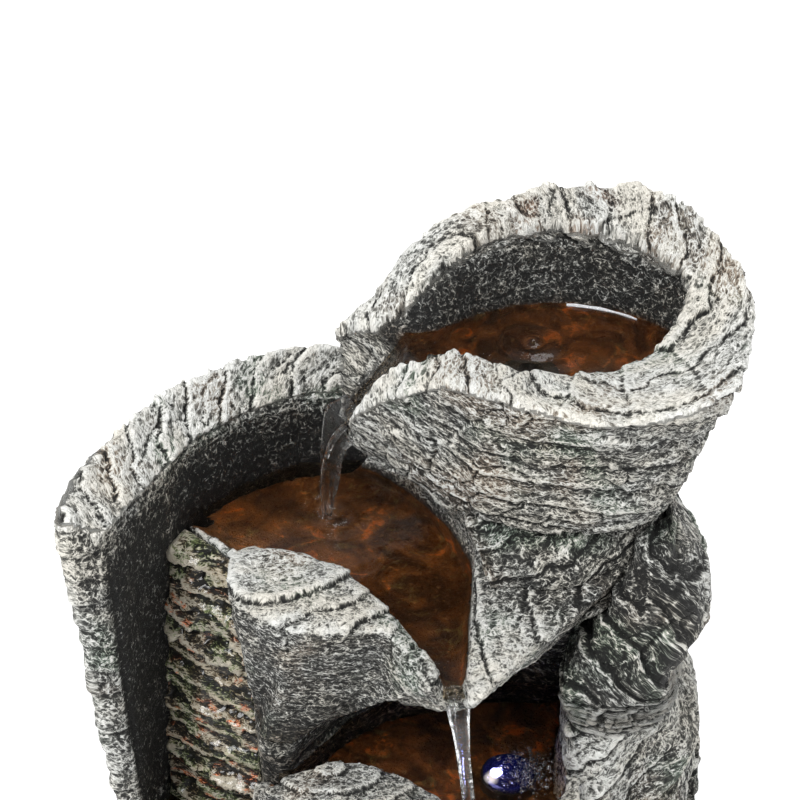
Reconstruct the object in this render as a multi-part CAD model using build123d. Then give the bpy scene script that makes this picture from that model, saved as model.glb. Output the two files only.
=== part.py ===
from build123d import *
import math
import os

# Tiered rockery fountain for a tabletop. Cast stone-resin rocks stacked in a
# reservoir tub: a curved screen wall on the left and back, a top bowl with a chute,
# a middle pool with a spout, a lower pool, a stacked-slate cascade and a buttress
# on the right. A submersible pump in the rear chamber lifts water through a tube.
# Frame: origin at the centre of the footprint on the table, +Z up, front is -Y.
# All sizes in millimetres.

# ---- driving dimensions -------------------------------------------------
PAD_T = 2.5            # foot pad thickness; the tub starts here
TUB_FLOOR = 9.0        # inside floor of the reservoir
SEAT_Z = 55.0          # flat rim that carries the screen wall
POOL_LOW_Z = 88.0      # floor of the lower pool
JOINT_LOW_Z = 118.0    # joint plane between tower core and middle pool
POOL_MID_Z = 160.0     # floor of the middle pool
SEAT_TOP_Z = 186.0     # flat seat of the bowl pedestal
BOWL_BASE_Z = 201.0    # joint plane between pedestal and top bowl
BOWL_FLOOR_Z = 228.0   # floor of the top bowl
BOWL_RIM_Z = 301.0     # highest crest of the top bowl
TUBE_X, TUBE_Y = 46.0, 35.5     # riser tube axis
TUBE_R, TUBE_BORE = 6.0, 4.5    # riser tube, 12 mm outside, 9 mm inside
PUMP_Y, PUMP_Z = 35.5, 31.0     # pump rotor axis, along X
HATCH = (-16.0, 56.0, 64.0, 124.0)   # service hatch: x low, x high, z low, z high
HATCH_GAP = 0.6
LAMP_X, LAMP_Y = 39.0, -34.0
GLAND_X, GLAND_Z = -36.0, 68.0


# ---- helpers --------------------------------------------------------------
def polygon(points):
    return Face(Wire.make_polygon([Vector(*p) for p in points], close=True))


def closed(faces):
    solid = Solid(Shell(faces))
    if solid.volume < 0:
        solid = Solid(solid.wrapped.Reversed())
    return solid


def quad(faces, a, b, c, d):
    faces.append(polygon([a, b, c]))
    faces.append(polygon([a, c, d]))


def ring_solid(rings):
    """Stacked closed rings with the same number of points; the two end rings are flat."""
    n, faces = len(rings[0]), []
    for low, high in zip(rings, rings[1:]):
        for i in range(n):
            j = (i + 1) % n
            quad(faces, low[i], low[j], high[j], high[i])
    faces.append(polygon(rings[0]))
    faces.append(polygon(rings[-1]))
    return closed(faces)


def strip_solid(outer, inner):
    """A curved wall: outer[level][i] and inner[level][i] face each other."""
    faces, levels, n = [], len(outer), len(outer[0])
    for k in range(levels - 1):
        for i in range(n - 1):
            quad(faces, outer[k][i], outer[k][i + 1], outer[k + 1][i + 1], outer[k + 1][i])
            quad(faces, inner[k][i], inner[k][i + 1], inner[k + 1][i + 1], inner[k + 1][i])
        for i in (0, n - 1):
            quad(faces, outer[k][i], inner[k][i], inner[k + 1][i], outer[k + 1][i])
    for k in (0, levels - 1):
        for i in range(n - 1):
            quad(faces, outer[k][i], outer[k][i + 1], inner[k][i + 1], inner[k][i])
    return closed(faces)


def biggest(shape):
    solids = sorted(shape.solids(), key=lambda s: s.volume)
    return solids[-1]


def towards(points, centre, share, z=None):
    cx, cy = centre
    return [
        (cx + (p[0] - cx) * share, cy + (p[1] - cy) * share, p[2] if z is None else z)
        for p in points
    ]


def at(points, z):
    return [(p[0], p[1], z) for p in points]


def box(x0, x1, y0, y1, z0, z1):
    return Box(x1 - x0, y1 - y0, z1 - z0, align=(Align.MIN,) * 3).moved(Location((x0, y0, z0)))


def rod(r, start, direction, length):
    plane = Plane(origin=start, z_dir=direction)
    return plane * Cylinder(r, length, align=(Align.CENTER, Align.CENTER, Align.MIN))


# ---- reservoir tub --------------------------------------------------------
tub_outline = [
    (-10, -91.5, 52), (25, -90, 49), (58, -84, 54), (88, -70, 58), (108, -50, 56), (118, -24, 64),
    (121, 4, 85), (122, 34, 91), (112, 62, 80), (92, 80, 55), (60, 89, 55), (28, 90, 55),
    (-5, 90, 55), (-38, 89, 55), (-66, 82, 55), (-90, 67, 55), (-108, 45, 55), (-118, 20, 55),
    (-122, -6, 55), (-120, -32, 55), (-108, -56, 51), (-88, -74, 55), (-64, -84, 50), (-38, -90, 54),
]
tub_inner = [
    (-10, -80, 50), (22, -79, 47), (52, -73, 51), (78, -60, 54), (95, -43, 53), (103, -21, 60),
    (107, 4, 80), (106, 32, 86), (97, 52, 76), (80, 66, 55), (54, 74, 55), (26, 75, 55),
    (-5, 75, 55), (-34, 74, 55), (-58, 68, 55), (-78, 55, 55), (-93, 36, 55), (-101, 16, 55),
    (-103, -6, 55), (-102, -28, 55), (-94, -47, 49), (-77, -63, 53), (-56, -73, 48), (-34, -79, 52),
]
tub = ring_solid([
    towards(tub_outline, (0, 0), 0.93, PAD_T),
    towards(tub_outline, (0, 0), 0.985, 20.0),
    tub_outline,
    tub_inner,
    towards(tub_inner, (0, 0), 0.965, TUB_FLOOR),
])

# ---- screen wall, left and back --------------------------------------------
wall_top_out = [
    (-128, -20, 212), (-126, 4, 213), (-118, 23, 214), (-108, 42, 215), (-97, 59, 216), (-83, 70, 217),
    (-67, 80, 218), (-48, 88, 219), (-26, 89, 219), (2, 89.5, 216), (30, 89.5, 209), (58, 88, 202),
]
wall_top_in = [
    (-111, -17, 205), (-106, 0, 203), (-98, 18, 201), (-92, 32, 200), (-85, 44, 200), (-71, 59, 200),
    (-58, 67, 200), (-45, 73, 201), (-27, 76, 201), (2, 77, 199), (30, 77.5, 196), (56, 77, 192),
]
wall_low_out = [
    (-116, -20), (-117, 4), (-112, 22), (-104, 40), (-94, 56), (-81, 66),
    (-66, 76), (-47, 84), (-26, 86), (2, 86.5), (30, 86.5), (58, 85),
]
wall_low_in = [
    (-107, -18.5), (-104, 0), (-97, 18), (-91, 31.5), (-83, 43.5), (-70, 58),
    (-57, 66), (-44, 72), (-26, 75), (2, 76), (30, 76), (56, 75.5),
]
wall_mid_out = [(-122, -21), (-121, 4), (-115, 23), (-107, 41), (-95, 58), (-83, 68),
                (-67, 78), (-48, 86), (-26, 88), (2, 88), (30, 88), (58, 86)]
screen_wall = strip_solid(
    [at(wall_low_out, SEAT_Z), at(wall_mid_out, 132.0), wall_top_out],
    [at(wall_low_in, SEAT_Z), [((a[0] + b[0]) / 2, (a[1] + b[1]) / 2, 130.0) for a, b in zip(wall_low_in, wall_top_in)], wall_top_in],
)
hx0, hx1, hz0, hz1 = HATCH
screen_wall = screen_wall - box(hx0, hx1, 80, 100, hz0, hz1)
screen_wall = screen_wall - box(hx0 + 5, hx1 - 5, 60, 85, hz0 + 5, hz1 - 5)
screen_wall = biggest(screen_wall - rod(6.0, (GLAND_X, 60, GLAND_Z), (0, 1, 0), 40))

# ---- middle pool: ledge rock, spout and right bank in one casting --------------
mid_rim_out = [
    (12, -67, 166), (21, -67, 166), (26, -66, 172), (47, -48, 178), (71, -24, 183), (94, 2, 186),
    (102, 28, 186), (100, 55, 186), (80, 70, 186), (40, 74, 186), (0, 75.5, 186), (-26, 75, 161),
    (-45, 72.5, 161), (-58, 67, 161), (-70, 59, 161), (-84, 44, 161), (-91, 36, 169), (-68, 13, 169),
    (-69, -6, 186), (-66, -32, 185), (-42, -46, 184), (-24, -46, 183), (-8, -42, 181), (8, -66, 173),
]
mid_rim_in = [
    (13, -56, 166), (20, -56, 166), (21, -52, 173), (22, -40, 176), (24, -16, 179), (26, 8, 186),
    (18, 30, 186), (9, 44, 186), (0, 56, 186), (-8, 64, 186), (-14, 69, 186), (-26, 72, 160.6),
    (-45, 69.5, 160.6), (-57, 64, 160.6), (-68, 56, 160.6), (-80, 42, 160.6), (-86, 37, 168), (-64, 18, 168),
    (-56, 4, 184), (-41, 1, 184), (-28, -6, 184), (-17, -16, 182), (-8, -27, 180), (9, -52, 174),
]
mid_floor = [
    (14, -50), (18.5, -50), (19, -46), (20, -36), (21.5, -14), (23, 6),
    (15, 27), (6, 41), (-3, 53), (-11, 61), (-17, 66), (-26, 69.5),
    (-44, 67), (-56, 62), (-66, 54), (-77, 41), (-78, 35), (-61, 20),
    (-54, 8), (-41, 5), (-27, -2), (-15, -12), (-6, -24), (11, -47),
]
mid_under = [
    (11, -60, 158), (20, -60, 158), (27, -55, 160), (46, -38, 162), (68, -15, 165), (90, 6, 168),
    (98, 28, 168), (96, 54, 168), (78, 69, 168), (40, 73, 168), (0, 75, 166), (-26, 75, 157),
    (-45, 72.5, 157), (-58, 67, 157), (-70, 59, 157), (-84, 44, 157), (-85, 35, 157), (-66, 12, 157),
    (-66, -7, 168), (-64, -32, 166), (-46, -41, 160), (-30, -41, 152), (-12, -40, 155), (4, -57, 164),
]
core_top = [
    (-9, 1), (7, 6), (24, 11), (40, 12.5), (58, 10.5), (74, 12),
    (84, 24), (84, 50), (70, 66), (38, 71), (0, 73), (-24, 73),
    (-42, 70), (-55, 64), (-67, 56), (-73, 43), (-66, 30), (-62, 12),
    (-61, -4), (-60, -20), (-58, -36), (-46, -38), (-37, -27), (-23, -8),
]
middle_basin = ring_solid([at(core_top, JOINT_LOW_Z), mid_under, mid_rim_out, mid_rim_in, at(mid_floor, POOL_MID_Z)])
middle_basin = biggest(middle_basin - screen_wall)

# ---- tower core, hollow pump chamber open to the rear ----------------------------
core_low = [
    (-7, 1), (8, 6), (24, 11), (40, 12.5), (58, 11), (71, 12),
    (82, 24), (82, 50), (70, 64), (38, 68), (0, 70), (-24, 70),
    (-42, 66), (-55, 59), (-64, 50), (-68, 40), (-63, 28), (-60, 12),
    (-58, -4), (-57, -20), (-56, -34), (-46, -36), (-36, -26), (-21, -8),
]
core_mid = [((a[0] + b[0]) / 2 + (1.2 if i % 2 else -1.2), (a[1] + b[1]) / 2) for i, (a, b) in enumerate(zip(core_low, core_top))]
core = ring_solid([at(core_low, TUB_FLOOR), at(core_mid, 62.0), at(core_top, JOINT_LOW_Z)])
chamber = [
    (-48, -22), (-42, -22), (-30, -3), (-13, 8), (4, 16.5), (66, 17.0), (75, 26), (75, 58), (66, 85),
    (-46, 85), (-56, 50), (-62, 41), (-55, 27), (-52, 10), (-50, -10),
]
# the core's own hollow stops short of the right rear corner, so that the core has a rear wall from the hatch to its right side
core_hollow = chamber[:7] + [(75, 54), (70, 58), (57, 62), (57, 85)] + chamber[9:]
core = core - ring_solid([at(core_hollow, 0.0), at(core_hollow, 104.0)])
core = biggest(core + (box(57.0, 61.0, 62.0, 86.0, 60.0, 104.0) - screen_wall))     # cheek from the rear wall to the screen wall
core = core - box(-75, -45, -14, 6, 0, 26)          # inlet window, tub water to pump chamber

# ---- lower pool ------------------------------------------------------------------
low_rim_out = [
    (-61, -50, 104), (-58, -58, 116), (-44, -67, 121), (-26, -70, 122), (-8, -72, 120), (8, -75, 116),
    (19, -76, 112), (24, -77, 103), (36, -77, 103), (42, -76, 112), (54, -71, 112), (66, -58, 108),
    (67, -40, 108), (68, -20, 108), (70, 4, 108), (58, 13, 89), (38, 15, 89), (20, 13, 89),
    (4, 8, 89), (-13, 2, 89), (-27, -8, 89), (-40, -24, 89), (-50, -33, 89), (-59, -41, 104),
]
low_rim_in = [
    (-50, -48, 102.5), (-48, -52, 114), (-40, -48, 117), (-26, -45, 118), (-10, -47, 117), (6, -55, 115),
    (18, -64, 111), (24, -68, 102), (36, -68, 102), (42, -67, 110), (54, -60, 110), (60, -48, 107),
    (60, -36, 107), (61, -18, 107), (62, 2, 107), (54, 8, 88.6), (37, 10.5, 88.6), (20, 8.5, 88.6),
    (4, 3, 88.6), (-11, -3, 88.6), (-24, -13, 88.6), (-36, -28, 88.6), (-46, -38, 88.6), (-50, -44, 102.5),
]
low_floor = [
    (-40, -46.5), (-38, -46), (-34, -43), (-25, -41), (-10, -43), (7, -51),
    (19, -60), (24, -62), (35, -62), (41, -61), (51, -56), (57, -46),
    (57, -36), (58, -18), (59, 0), (52, 6), (36, 9), (20, 7),
    (5, 1), (-10, -5), (-22, -15), (-33, -30), (-42, -40), (-43, -43),
]
low_centre = (6, -32)
low_belly = [(p[0], p[1], min(p[2] - 14, 98) if p[2] > 95 else 84) for p in towards(low_rim_out, low_centre, 0.93)]
low_waist = towards(low_rim_out, low_centre, 0.76, 52.0)
low_foot = towards(low_rim_out, low_centre, 0.70, TUB_FLOOR)
lower_basin = ring_solid([low_foot, low_waist, low_belly, low_rim_out, low_rim_in, at(low_floor, POOL_LOW_Z)])
lower_basin = lower_basin - ring_solid([
    towards(low_rim_out, low_centre, 0.54, 0.0), towards(low_rim_out, low_centre, 0.58, 50.0),
    towards(low_rim_out, low_centre, 0.54, 74.0)])
lower_basin = lower_basin - core

# ---- right buttress ----------------------------------------------------------------
buttress_rings = [
    (TUB_FLOOR, [(52, -46), (70, -55), (88, -49), (100, -34), (106, -8), (107, 22), (101, 44), (88, 58), (72, 58), (64, 40), (60, 10), (54, -20)]),
    (60.0, [(55, -44), (72, -52), (92, -46), (108, -30), (117, -6), (119, 24), (110, 50), (92, 66), (74, 64), (66, 40), (62, 10), (56, -18)]),
    (100.0, [(58, -42), (74, -47), (92, -42), (106, -28), (113, -6), (114, 24), (107, 50), (91, 66), (75, 64), (68, 40), (64, 10), (59, -16)]),
    (121.0, [(62, -40), (76, -44), (92, -39), (104, -26), (110, -6), (111, 24), (105, 50), (90, 66), (76, 64), (70, 40), (66, 10), (60, -15)]),
    (150.0, [(57, -36), (76, -40), (96, -34), (108, -20), (115.5, 0), (117.5, 26), (111, 52), (94, 70), (78, 70), (74, 40), (70, 8), (60, -14)]),
    (178.0, [(76, -24), (86, -27), (98, -22), (108, -12), (113, 4), (114, 28), (107, 54), (92, 72), (80, 72), (78, 42), (76, 10), (74, -8)]),
    (196.0, [(84, -8), (90, -10), (98, -8), (104, -2), (107, 8), (107, 30), (102, 52), (90, 68), (82, 68), (80, 42), (80, 14), (82, 2)]),
]
buttress = ring_solid([[(x, y, z) for x, y in ring] for z, ring in buttress_rings])
void_rings = [
    (0.0, [(84, -36), (92, -30), (97, -8), (98, 20), (93, 40), (86, 48), (88, 20), (86, -10)]),
    (90.0, [(70, -34), (88, -32), (102, -8), (104, 22), (96, 48), (90, 52), (90, 20), (76, -10)]),
    (158.0, [(76, -28), (92, -26), (106, -4), (108, 24), (102, 48), (98, 52), (96, 20), (84, -8)]),
]
buttress = buttress - ring_solid([[(x, y, z) for x, y in ring] for z, ring in void_rings])

# ---- bowl pedestal ---------------------------------------------------------------------
pedestal = ring_solid([
    [(32, -24, 170), (62, -28, 170), (86, -10, 170), (99, 8, 170), (99, 30, 170), (96, 54, 170),
     (78, 68, 170), (40, 72, 170), (8, 72, 170), (2, 60, 170), (12, 46, 170), (22, 28, 170), (28, 4, 170)],
    [(28, -14, 189), (60, -19, 190), (84, -8, 190), (98, 8, 190), (99, 30, 190), (95, 54, 190),
     (77, 67, 190), (40, 70, 190), (10, 70, 190), (4, 60, 190), (12, 47, 190), (20, 28, 190), (24, 4, 190)],
    [(20, 2, BOWL_BASE_Z), (58, -6, BOWL_BASE_Z), (84, 0, BOWL_BASE_Z), (97, 12, BOWL_BASE_Z), (98, 32, BOWL_BASE_Z),
     (92, 50, BOWL_BASE_Z), (74, 62, BOWL_BASE_Z), (40, 64, BOWL_BASE_Z), (16, 62, BOWL_BASE_Z), (6, 54, BOWL_BASE_Z),
     (8, 44, BOWL_BASE_Z), (14, 28, BOWL_BASE_Z), (16, 10, BOWL_BASE_Z)],
])
pedestal = biggest(pedestal - middle_basin)

# ---- top bowl with chute to the left --------------------------------------------------------
bowl_crest = [
    (-24, 28, 218), (-23, 19, 231), (-8, 8, 249), (13, -1, 262), (32, -9, 261), (53, -17, 259),
    (68, -22, 258), (86, -20, 259), (103, -15, 261), (118, -5, 264), (124, 12, 268), (128, 32, 274),
    (124, 48, 280), (114, 58, 288), (105, 65, 296), (88, 72, 300), (69, 74, BOWL_RIM_Z), (50, 72, 300),
    (30, 67, 296), (12, 63, 287.5), (-1, 57, 276), (-12, 52, 261), (-26, 50, 250), (-26, 42, 218),
]
bowl_lip = [
    (-4, 23, 250), (-10, 17, 253), (0, 14, 263), (15, 15, 266), (26, 8.5, 265), (39, 4, 264),
    (54, 1, 264), (72, 3.5, 265), (84, 10, 266), (94, 18, 269), (101, 28, 274), (104, 37, 279),
    (101, 44, 282), (95, 49, 284), (86, 55, 286), (72, 61, 288), (57, 64, 288), (40, 62, 287),
    (26, 56, 285.5), (15, 49, 281), (6, 44, 274), (-2, 42, 266), (-12, 42, 257), (-4, 37, 250),
]
bowl_water = [
    (2, 24, 246), (2, 21, 246), (8, 19, 246), (18, 16, 246), (28, 11, 246), (40, 7, 246),
    (54, 4.5, 246), (71, 7, 246), (82, 13, 246), (91, 20, 246), (97, 29, 246), (99, 37, 246),
    (96, 43, 246), (91, 47.5, 246), (83, 53, 246), (70, 58.5, 246), (56, 61, 246), (41, 59, 246),
    (28, 53, 246), (18, 46, 246), (11, 40, 246), (6, 38, 246), (3, 37, 246), (2, 35, 246),
]
bowl_mid = [
    (-20, 29, 211), (-18, 20, 218), (-8, 10, 230), (8, 1, 240), (28, -7, 240), (50, -15, 239),
    (68, -19.5, 238), (85, -18, 238), (101, -11, 240), (114, 0, 243), (119, 14, 246), (122, 32, 250),
    (118, 46, 252), (110, 56, 256), (101, 64, 260), (86, 70, 262), (69, 72, 262), (50, 70, 260),
    (32, 66, 257), (14, 63, 252), (0, 60, 246), (-10, 56, 236), (-22, 50, 222), (-22, 41, 211),
]
bowl_low = [
    (-10, 30, 206), (-8, 22, 207), (-2, 14, 210), (9, 4, 214), (26, -5, 214), (49, -13, 214),
    (68, -15.5, 213), (86, -12.5, 214), (100, -4, 216), (108, 10, 218), (112, 20, 220), (113, 33, 222),
    (110, 45, 223), (103, 54, 224), (95, 61, 225), (82, 66, 226), (67, 68, 226), (50, 67, 225),
    (33, 64, 222), (16, 61, 218), (3, 58, 214), (-6, 55, 211), (-12, 50, 208), (-12, 40, 206),
]
bowl_base = [
    (-2, 30), (-1, 24), (4, 16), (12, 6), (27, -3), (48, -10),
    (67, -11.5), (85, -7), (96, 2), (100, 13), (101, 25), (101, 35),
    (98, 44), (92, 51), (84, 56), (74, 60), (62, 62), (48, 62),
    (34, 60), (20, 57), (8, 54), (1, 50), (-3, 45), (-3, 37),
]
top_bowl = ring_solid([
    at(bowl_base, BOWL_BASE_Z), bowl_low, bowl_mid, bowl_crest, bowl_lip, bowl_water,
    towards(bowl_water, (52, 34), 0.74, BOWL_FLOOR_Z),
])

# ---- riser bore through the stack ---------------------------------------------------------------
riser = rod(TUBE_R + 0.4, (TUBE_X, TUBE_Y, 95), (0, 0, 1), 120)
core, middle_basin, pedestal = core - riser, middle_basin - riser, pedestal - riser
top_bowl = top_bowl - rod(TUBE_R + 0.4, (TUBE_X, TUBE_Y, 190), (0, 0, 1), 32)
top_bowl = top_bowl - rod(9.0, (TUBE_X, TUBE_Y, 222), (0, 0, 1), 20)

# ---- stacked slate cascade between screen wall and tower -------------------------------------------
ledges = [(9.0, 0.0), (20.0, -1.6), (21.5, 2.2), (36.0, -1.0), (37.5, 3.2), (52.0, 0.2), (53.5, 4.4), (68.0, 2.0), (69.5, 6.0),
          (84.0, 3.6), (85.5, 7.8), (100.0, 6.0), (101.5, 10.4), (116.0, 9.6), (117.5, 13.8), (131.0, 13.2),
          (132.5, 17.0), (145.0, 17.4), (146.5, 21.0), (157.0, 21.6), (158.5, 24.6), (169.0, 25.0)]
cascade_rings = []
for z, back in ledges:
    x_right = -56.0 - 12.0 * max(0.0, z - 60.0) / 109.0
    y_right = -20.0 + back * 1.05
    x_left, y_left = -108.0, 6.0 + back * 0.9
    front = [(x_left + (x_right - x_left) * t, y_left + (y_right - y_left) * t + w, z)
             for t, w in ((0.0, 0.0), (0.25, 1.4), (0.5, -1.2), (0.75, 0.9), (1.0, 0.0))]
    back_line = [(-58.0, 30.0, z), (-100.0, 62.0, z)] if z < 150 else [(-52.0, 20.0, z), (-100.0, 60.0, z)]
    cascade_rings.append(front + back_line)
cascade = ring_solid(cascade_rings)
weir_back = ring_solid([
    [(-92.0, 46.0, 0.0), (-60.0, 14.0, 0.0), (-40.0, 40.0, 0.0), (-70.0, 90.0, 0.0)],
    [(-92.0, 46.0, 180.0), (-60.0, 14.0, 180.0), (-40.0, 40.0, 180.0), (-70.0, 90.0, 180.0)]])
cascade = cascade - weir_back
for other in (screen_wall, middle_basin, core, tub):
    cascade = biggest(cascade - other)

# ---- fit the buttress to its neighbours --------------------------------------------------------------
for other in (tub, core, middle_basin, pedestal, screen_wall, top_bowl):
    buttress = biggest(buttress - other)
buttress = biggest(buttress - ring_solid([at(chamber, 0.0), at(chamber, 104.0)]))     # keeps the chamber free for the grille to slide off
lower_basin = biggest(lower_basin - tub - buttress)

# ---- rear service cover -----------------------------------------------------------------------------------
g = HATCH_GAP
cover = box(hx0 + g, hx1 - g, 80.3, 88.6, hz0 + g, hz1 - g)
cover = chamfer(cover.faces().sort_by(Axis.Y)[-1].edges(), 2.0)
cover = cover - rod(9.0, ((hx0 + hx1) / 2, 84.6, hz1 - 9.0), (0, 1, 0), 10)
cover = cover + (rod(9.0, ((hx0 + hx1) / 2, 84.6, hz1 - 9.0), (0, 1, 0), 2.4) - box(-50, 80, 70, 100, hz1 - 9.5, 140))

# ---- cable gland in the wall, bore for a 6.5 mm cord ------------------------------------------------------
gland = rod(5.95, (GLAND_X, 72.0, GLAND_Z), (0, 1, 0), 17.5) + rod(8.5, (GLAND_X, 88.5, GLAND_Z), (0, 1, 0), 3.0)
gland = gland - rod(3.4, (GLAND_X, 70, GLAND_Z), (0, 1, 0), 30)

# ---- pump -------------------------------------------------------------------------------------------------
PX0, PX1, PX2, PX3 = -2.0, 40.0, 50.0, 58.0
body = box(PX0, PX1, PUMP_Y - 17, PUMP_Y + 17, PUMP_Z - 18, PUMP_Z + 18)
body = fillet(body.edges().filter_by(Axis.X), 4.0)
body = body - rod(9.4, (PX0 + 8.0, PUMP_Y, PUMP_Z), (1, 0, 0), 40)
body = body - rod(3.0, (PX0 + 4.0, PUMP_Y, PUMP_Z), (1, 0, 0), 5)
volute = box(PX1, PX2, PUMP_Y - 17, PUMP_Y + 17, PUMP_Z - 18, PUMP_Z + 18)
volute = fillet(volute.edges().filter_by(Axis.X), 4.0)
volute = volute - rod(13.5, (PX1 - 1, PUMP_Y, PUMP_Z), (1, 0, 0), 9.0)
volute = volute - (rod(7.5, (PX2 - 4, PUMP_Y, PUMP_Z), (1, 0, 0), 10) - rod(3.8, (PX2 - 4, PUMP_Y, PUMP_Z), (1, 0, 0), 10)
                   - box(PX2 - 10, PX2 + 10, PUMP_Y - 1, PUMP_Y + 1, PUMP_Z - 9, PUMP_Z + 9))
volute = volute + rod(5.6, (TUBE_X, PUMP_Y, PUMP_Z + 17), (0, 0, 1), 4.0) + rod(4.4, (TUBE_X, PUMP_Y, PUMP_Z + 17), (0, 0, 1), 15.0)
volute = volute - rod(2.8, (TUBE_X, PUMP_Y, PUMP_Z + 8), (0, 0, 1), 40)
volute = volute - rod(2.4, (PX2 - 3.0, PUMP_Y, PUMP_Z), (1, 0, 0), 2.0)
shaft = rod(1.2, (PX0 + 4.4, PUMP_Y, PUMP_Z), (1, 0, 0), 46.2)
bush_rear = rod(3.0, (PX0 + 4.0, PUMP_Y, PUMP_Z), (1, 0, 0), 4.0) - rod(1.2, (PX0 + 4.4, PUMP_Y, PUMP_Z), (1, 0, 0), 10)
bush_front = rod(2.4, (PX2 - 3.0, PUMP_Y, PUMP_Z), (1, 0, 0), 2.0) - rod(1.2, (PX2 - 4.0, PUMP_Y, PUMP_Z), (1, 0, 0), 2.6)
rotor = rod(8.8, (PX0 + 8.4, PUMP_Y, PUMP_Z), (1, 0, 0), 34.1) - rod(1.25, (PX0 + 6.0, PUMP_Y, PUMP_Z), (1, 0, 0), 42)
impeller = rod(11.8, (PX1 + 0.5, PUMP_Y, PUMP_Z), (1, 0, 0), 1.5) + rod(3.4, (PX1 + 0.5, PUMP_Y, PUMP_Z), (1, 0, 0), 6.2)
for i in range(6):
    blade = box(PX1 + 1.5, PX1 + 6.4, PUMP_Y + 2.6, PUMP_Y + 11.4, PUMP_Z - 0.6, PUMP_Z + 0.6)
    impeller = impeller + blade.rotate(Axis((0, PUMP_Y, PUMP_Z), (1, 0, 0)), 60 * i + 15)
impeller = impeller - rod(1.25, (PX1 - 4.0, PUMP_Y, PUMP_Z), (1, 0, 0), 20)
grille = box(PX2 + 0.2, PX3, PUMP_Y - 16, PUMP_Y + 16, PUMP_Z - 17, PUMP_Z + 17)
grille = fillet(grille.edges().filter_by(Axis.X), 3.5)
grille = grille - box(PX2 - 1, PX3 - 1.8, PUMP_Y - 14.2, PUMP_Y + 14.2, PUMP_Z - 15.2, PUMP_Z + 15.2)
for k in range(-3, 4):
    if k:
        grille = grille - box(PX3 - 4, PX3 + 2, PUMP_Y - 12, PUMP_Y + 12, PUMP_Z + 3.9 * k - 1.1, PUMP_Z + 3.9 * k + 1.1)
grille = grille - box(PX3 - 4, PX3 + 2, PUMP_Y - 5.2, PUMP_Y - 2.8, PUMP_Z - 9, PUMP_Z + 9)
gate = box(PX3 + 0.1, PX3 + 1.5, PUMP_Y - 8, PUMP_Y + 3, PUMP_Z - 4.5, PUMP_Z + 4.5) + box(PX3 + 1.4, PX3 + 3.6, PUMP_Y - 7, PUMP_Y - 1, PUMP_Z - 1, PUMP_Z + 1)
gate = gate + box(PX3 - 3.0, PX3 + 0.2, PUMP_Y - 4.9, PUMP_Y - 3.1, PUMP_Z - 3, PUMP_Z + 3)
cups = []
for cx in (PX0 + 8.0, PX0 + 35.0):
    for cy in (PUMP_Y - 11, PUMP_Y + 11):
        cup = rod(3.0, (cx, cy, 11.0), (0, 0, 1), 2.0) + (Pos(cx, cy, 10.0) * Cone(7.0, 3.4, 2.0))
        cups.append(cup)

# ---- riser tube and bowl nozzle -------------------------------------------------------------------------------
tube = rod(TUBE_R, (TUBE_X, TUBE_Y, 52.2), (0, 0, 1), 169.8) - rod(TUBE_BORE, (TUBE_X, TUBE_Y, 50.0), (0, 0, 1), 180)
nozzle = rod(8.9, (TUBE_X, TUBE_Y, 222.0), (0, 0, 1), 9.0) + rod(10.5, (TUBE_X, TUBE_Y, BOWL_FLOOR_Z), (0, 0, 1), 2.5)
nozzle = nozzle - rod(4.5, (TUBE_X, TUBE_Y, 215), (0, 0, 1), 30)

# ---- pool lamp ---------------------------------------------------------------------------------------------------
lamp_body = rod(11.0, (LAMP_X, LAMP_Y, POOL_LOW_Z), (0, 0, 1), 8.0) - rod(9.0, (LAMP_X, LAMP_Y, POOL_LOW_Z + 3), (0, 0, 1), 8.0)
lamp_board = rod(8.6, (LAMP_X, LAMP_Y, POOL_LOW_Z + 3), (0, 0, 1), 1.6)
for i in range(3):
    a = math.radians(90 + 120 * i)
    lamp_board = lamp_board + box(LAMP_X + 4 * math.cos(a) - 1.4, LAMP_X + 4 * math.cos(a) + 1.4, LAMP_Y + 4 * math.sin(a) - 1.4,
                                  LAMP_Y + 4 * math.sin(a) + 1.4, POOL_LOW_Z + 4.5, POOL_LOW_Z + 6.4)
lens = rod(10.2, (LAMP_X, LAMP_Y, POOL_LOW_Z + 8), (0, 0, 1), 1.6) + (Pos(LAMP_X, LAMP_Y, POOL_LOW_Z + 11.1) * Cone(8.6, 5.6, 3.2))
lens = fillet(lens.edges().filter_by(GeomType.CIRCLE).sort_by(Axis.Z)[-1], 2.0)

# ---- foot pads -------------------------------------------------------------------------------------------------------
pads = [rod(9.0, (x, y, 0.0), (0, 0, 1), PAD_T) for x, y in ((-78, -46), (78, -46), (76, 50), (-76, 48))]


def write(name, *shapes):
    solids = [s for shape in shapes for s in shape.solids()]
    export_step(solids[0] if len(solids) == 1 else Compound(solids), f"parts/{name}.step")


os.makedirs("parts", exist_ok=True)
write("reservoir_tub", tub)
write("screen_wall", screen_wall)
write("tower_core", core)
write("middle_pool", middle_basin)
write("lower_pool", lower_basin)
write("right_buttress", buttress)
write("slate_cascade", cascade)
write("bowl_pedestal", pedestal)
write("top_bowl", top_bowl)
write("rear_cover", cover)
write("cable_gland", gland)
write("pump_body", body)
write("pump_volute", volute)
write("pump_impeller", impeller)
write("magnet_rotor", rotor)
write("rotor_shaft", shaft)
write("shaft_bushes", bush_rear, bush_front)
write("intake_grille", grille)
write("flow_gate", gate)
write("suction_cups", *cups)
write("riser_tube", tube)
write("bowl_nozzle", nozzle)
write("lamp_housing", lamp_body)
write("lamp_board", lamp_board)
write("lamp_lens", lens)
write("foot_pads", *pads)
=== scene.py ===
import math

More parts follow.
